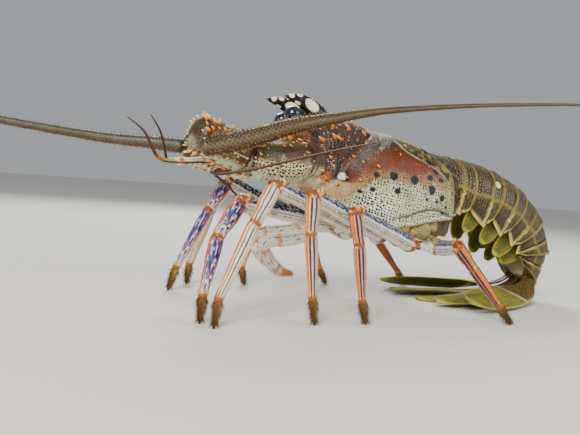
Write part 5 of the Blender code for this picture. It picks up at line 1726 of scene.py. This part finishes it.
def hoop_colour(number, share, across_share):
    size = abs(across_share)
    clouds = noise.noise(Vector((share * 3.2 + number * 7, across_share * 9, 2)))
    veins = noise.noise(Vector((share * 9 + number * 5, across_share * 26, 9)))
    colour = blend(TAIL_DARK, TAIL_OLIVE, rise(clouds, -0.05, 0.35))
    colour = blend(colour, TAIL_BROWN, 0.8 * rise(veins, 0.1, 0.4))
    colour = blend(colour, TAIL_OLIVE, 0.5 * rise(size, 0.5, 0.75))
    colour = blend(colour, TAIL_RIM, 0.75 * bell(share, 0.955, 0.035) + 0.6 * bell(share, 0.58, 0.035))
    # The furrow and the groove before the hind rim are painted darker: painted shade in the grooves.
    colour = blend(colour, TAIL_DARK, 0.9 * bell(share, 0.5, 0.025) + 0.7 * bell(share, 0.88, 0.02))
    colour = blend(colour, TAIL_RIM, 0.6 * bell(size, 0.66, 0.025))
    hook = bell(share, 0.62 + 0.06 * veins, 0.035) * rise(size, 0.66, 0.72)
    colour = blend(colour, TAIL_DARK, 0.6 * rise(size, 0.68, 0.8) * rise(share, 0.56, 0.46))
    colour = blend(colour, TAIL_TOOTH, 0.9 * hook)
    tooth_rim = HOOP.at(share)[1] * 0.28 + 0.68
    colour = blend(colour, TAIL_TOOTH, 0.85 * rise(size, 0.93, 0.985) * rise(tooth_rim, 0.84, 0.9))
    if number in TAIL_SPOTS:
        place, across_place, radius = TAIL_SPOTS[number]
        away = math.hypot((share - place) * SEGMENTS[number][0], (size - across_place) * 62)
        colour = blend(colour, SPOT, rise(away, radius + 1.4, radius + 0.7))
        colour = blend(colour, PALE_SPOT, rise(away, radius + 0.4, radius - 0.4))
    return colour, -0.3 + 0.1 * rise(size, 0.7, 0.9)


def hoop_section(number, share, turn):
    if turn <= HOOP_OUTER:
        return on_hoop(number, share, 2 * turn / HOOP_OUTER - 1)
    return in_hoop(number, share, (turn - HOOP_OUTER) / (1 - HOOP_OUTER))


tail_coat = new_coat()
for number in range(len(SEGMENTS)):
    lead = len(HOOP_LIPS)
    total = HOOP_ROWS + 2 * lead
    hearts = {}

    def hoop_place(row, turn):
        share = min(max((row - lead) / HOOP_ROWS, 0), 1)
        point = hoop_section(number, share, turn)
        if lead <= row <= total - lead:
            return point
        if share not in hearts:
            centre, down, half, taper = hoop_frame(number, share)
            hearts[share] = centre + down * BACK_DEPTH * 0.5 * taper * MM
        return hearts[share].lerp(point, HOOP_LIPS[min(row, total - row)])

    def hoop_paint(row, turn, point):
        share = min(max((row - lead) / HOOP_ROWS, 0), 1)
        if turn > HOOP_OUTER:
            return blend(TAIL_OLIVE, CREAM, 0.5), 0.2
        return hoop_colour(number, share, 2 * turn / HOOP_OUTER - 1)

    bm = new_piece()
    bent_grid(bm, total, HOOP_AROUND, hoop_place, hoop_paint, (SEGMENTS[number][0], 230))
    for k in range(260):
        across_share = draw.uniform(-0.9, 0.9)
        in_furrow = k % 2 == 0
        share = 0.485 if in_furrow else 0.97
        foot = on_hoop(number, share, across_share, -0.15)
        out = (on_hoop(number, share, across_share, 2) - foot).normalized()
        along = (on_hoop(number, share + 0.01, across_share) - on_hoop(number, share - 0.01, across_share)).normalized()
        reach = draw.uniform(0.9, 1.7)
        tip = foot + (out * (0.35 if in_furrow else 0.12) + along).normalized() * reach * MM
        set_hair(tail_coat, bristle, foot, tip, 0.09, number, 3, (share, (across_share + 1) / 2))
    lift_to_floor(bm)
    finish_piece(bm, f"tail_hoop_{number + 1}", shell, [f"abdomen_{number + 1}"])
lift_to_floor(tail_coat)
finish_piece(tail_coat, "tail_bristles", bristle_finish)

# %% [markdown]
# ## The fan and the swimmerets
# Five thin leaves make the fan: a middle one and two pairs at its sides, spread on the floor under the
# body. Near their roots they are hard shell. The rest is softer and is strengthened by fine ribs that
# spread towards a fringe of hair. Eight smaller leaves, the swimmerets, hang below the hoops.

# %% Fan leaves
FAN_LEAVES = {
    "telson": (4.0, 1.05, 0, 0.0, 100, 2.0, 0, (8.5, 11, 13, 14.5, 15, 14.5, 12.5, 8)),
    "endopod": (8.3, 4.2, 11, 7.0, 104, 1.8, 6, (4.5, 6, 8.5, 11, 12.5, 12.5, 10.5, 6)),
    "exopod": (12.0, 7.4, 24, 10.0, 100, 1.8, 22, (4.5, 6, 9, 12, 13.5, 13.5, 11.5, 6.5)),
}
FAN_STEPS = (0.0, 0.07, 0.14, 0.24, 0.42, 0.62, 0.84, 1.0)
FAN_SINK = 3
LEAF_EDGE = 0.35
FAN_HARD = 0.34
FAN_OLIVE = srgb(112, 104, 22)
FAN_BROWN = srgb(78, 54, 16)
FAN_RIM = srgb(166, 180, 46)
FAN_GREEN = srgb(80, 92, 22)
FAN_RIBS = 26


def leaf(bm, station, rows, across, thick, paint, ribs, rib_height=0.09, hard=0.0):
    """A thin closed leaf through station(share) -> centre, side, up and half width in mm."""
    stations = [station(row / rows) for row in range(rows + 1)]

    def parts(turn):
        return (4 * turn - 1, 1) if turn <= 0.5 else (3 - 4 * turn, -1)

    def place(row, turn):
        centre, side, up, half = stations[min(max(row - 1, 0), rows)]
        if row in (0, rows + 2):
            return centre
        share = (row - 1) / rows
        where, face = parts(turn)
        lens = LEAF_EDGE + (1 - LEAF_EDGE) * (1 - where * where)
        rib = rib_height * math.cos(math.pi * ribs * where) * rise(share, hard - 0.02, hard + 0.06)
        rib *= rise(1 - abs(where), 0, 0.08)
        step = 0.16 * rise(share, hard + 0.02, hard - 0.02) if hard else 0
        return centre + side * half * where * MM + up * face * (thick / 2 * lens + rib + step) * MM

    def tinted(row, turn, point):
        return paint(min(max((row - 1) / rows, 0), 1), *parts(turn))

    bent_grid(bm, rows + 2, 4 * across, place, tinted, ((stations[-1][0] - stations[0][0]).length / MM, 50))
    return stations


def fan_station(name, sign):
    depth, level, spread, offset, reach, thick, roll, halves = FAN_LEAVES[name]
    widths = Table(list(zip(FAN_STEPS, halves)))
    end, tilt = planes[-1]
    along, down = direction(tilt)
    turned = math.radians(spread) * sign
    level_way = Vector((-math.cos(turned), math.sin(turned), 0))
    root = end + down * depth * MM - along * FAN_SINK * MM + Vector((0, sign * offset * MM, 0))
    drop = root.z - level * MM

    def spot(share):
        run = share * reach * MM
        return root + level_way * run - Vector((0, 0, drop * (1 - math.exp(-run / (drop * 0.75)))))

    def station(share):
        way = (spot(share + 0.01) - spot(share - 0.01)).normalized()
        side = Vector((0, 0, 1)).cross(way).normalized()
        rolled = Matrix.Rotation(math.radians(roll) * sign * min(share / 0.42, 1), 3, way)
        side = rolled @ side
        rounding = math.sqrt(max(1 - (max(share - 0.88, 0) / 0.12) ** 2, 0))
        return spot(share), side, way.cross(side), widths.at(share)[0] * (0.15 + 0.85 * rounding)

    return station, thick


def fan_paint(share, where, face):
    clouds = noise.noise(Vector((share * 6, where * 3, face * 4)))
    ribs = 0.5 + 0.5 * math.cos(math.pi * FAN_RIBS * where)
    colour = blend(FAN_OLIVE, FAN_BROWN, rise(clouds, -0.1, 0.35))
    colour = blend(colour, FAN_RIM, 0.3 * ribs * rise(share, 0.36, 0.5))
    hard = blend(TAIL_BROWN, TAIL_OLIVE, rise(clouds, -0.2, 0.2))
    colour = blend(hard, colour, rise(share + 0.04 * math.cos(where * 3), FAN_HARD - 0.02, FAN_HARD + 0.03))
    colour = blend(colour, PALE_SPOT, 0.5 * bell(share, FAN_HARD, 0.015))
    rim = max(rise(abs(where), 0.86, 0.96), rise(share, 0.93, 0.985))
    return blend(colour, FAN_RIM, rim * rise(share, 0.15, 0.3)), -0.35


fan_parts = [("telson", "", 0)] + [(name, side, sign) for side, sign in SIDES.items() for name in ("endopod", "exopod")]
fan_coat = new_coat()
for tile, (name, side, sign) in enumerate(fan_parts):
    node = f"uropod_{name}_{side}" if side else name
    station, thick = fan_station(name, sign)
    bm = new_piece()
    stations = leaf(bm, station, 110, 46, thick, fan_paint, FAN_RIBS, hard=FAN_HARD)
    for k in range(420):
        part = k / 419 * 2 - 1
        share = 1 - 0.5 * abs(part) ** 1.5
        centre, wide, up, half = stations[round(share * 110)]
        where = math.copysign(1, part) if share < 0.9 else part / 0.3 * 0.9
        where = min(max(where, -1), 1)
        way = (stations[110][0] - stations[100][0]).normalized()
        foot = centre + wide * half * where * 0.97 * MM
        tip = foot + (way + wide * where * 0.4).normalized() * draw.uniform(1.2, 2.4) * MM
        set_hair(fan_coat, bristle, foot, tip, 0.1, tile, 3, (share, (where + 1) / 2))
    lift_to_floor(bm)
    finish_piece(bm, f"fan_{node}", shell, [node])
lift_to_floor(fan_coat)
finish_piece(fan_coat, "fan_fringe", bristle_finish)

# %% Swimmerets
SWIMMERETS = ((1, 27, 7.0, 19.0, -8), (2, 29, 7.5, 17.5, -4), (3, 29, 7.5, 15.5, 2), (4, 24, 6.0, 11.0, 4))
SWIMMERET_THICK = 1.3
SWIMMERET_WIDTH = Table(((0, 0.35), (0.2, 0.6), (0.4, 0.9), (0.6, 1.0), (0.8, 0.85), (0.93, 0.6), (1, 0.25)))


def swimmeret_paint(share, where, face):
    colour = blend(FAN_GREEN, FAN_OLIVE, rise(abs(where), 0.1, 0.6))
    colour = blend(colour, FAN_BROWN, rise(share, 0.25, 0.1))
    rim = max(rise(abs(where), 0.8, 0.93), rise(share, 0.9, 0.97))
    return blend(colour, FAN_RIM, rim), -0.2


swimmeret_coat = new_coat()
for number, length, half, offset, swing in SWIMMERETS:
    along, down = direction(SEGMENTS[number][1])
    taper = TAIL_TAPER[number]
    tilt = math.radians(swing)
    way = down * math.cos(tilt) + along * math.sin(tilt)
    wide = along * math.cos(tilt) - down * math.sin(tilt)
    middle = planes[number][0].lerp(planes[number + 1][0], 0.5)
    for side, sign in SIDES.items():
        inward = Vector((0, -sign, 0))
        root = middle + down * (BACK_DEPTH * taper - 3) * MM + Vector((0, sign * offset * taper * MM, 0))

        def hanging(share):
            bow = -2.0 * math.sin(math.pi * share) + share * 3
            centre = root + way * (length + 3) * share * MM + inward * bow * MM
            return centre, wide, inward, half * SWIMMERET_WIDTH.at(share)[0]

        bm = new_piece()
        stations = leaf(bm, hanging, 60, 20, SWIMMERET_THICK, swimmeret_paint, 12)
        for k in range(110):
            part = k / 109 * 2 - 1
            share = 1 - 0.6 * abs(part) ** 1.4
            centre, across_way, up, reach = stations[round(share * 60)]
            where = math.copysign(1, part) if share < 0.95 else part / 0.2
            where = min(max(where, -1), 1)
            foot = centre + across_way * reach * where * 0.97 * MM
            tip = foot + (way + across_way * where * 0.6).normalized() * draw.uniform(0.8, 1.6) * MM
            tile = number - 1 + (4 if sign > 0 else 0)
            set_hair(swimmeret_coat, bristle, foot, tip, 0.08, tile, 4, (share, (where + 1) / 2))
        finish_piece(bm, f"swimmeret_{side}_{number}_leaf", shell, [f"swimmeret_{side}_{number}"])
finish_piece(swimmeret_coat, "swimmeret_fringe", bristle_finish)
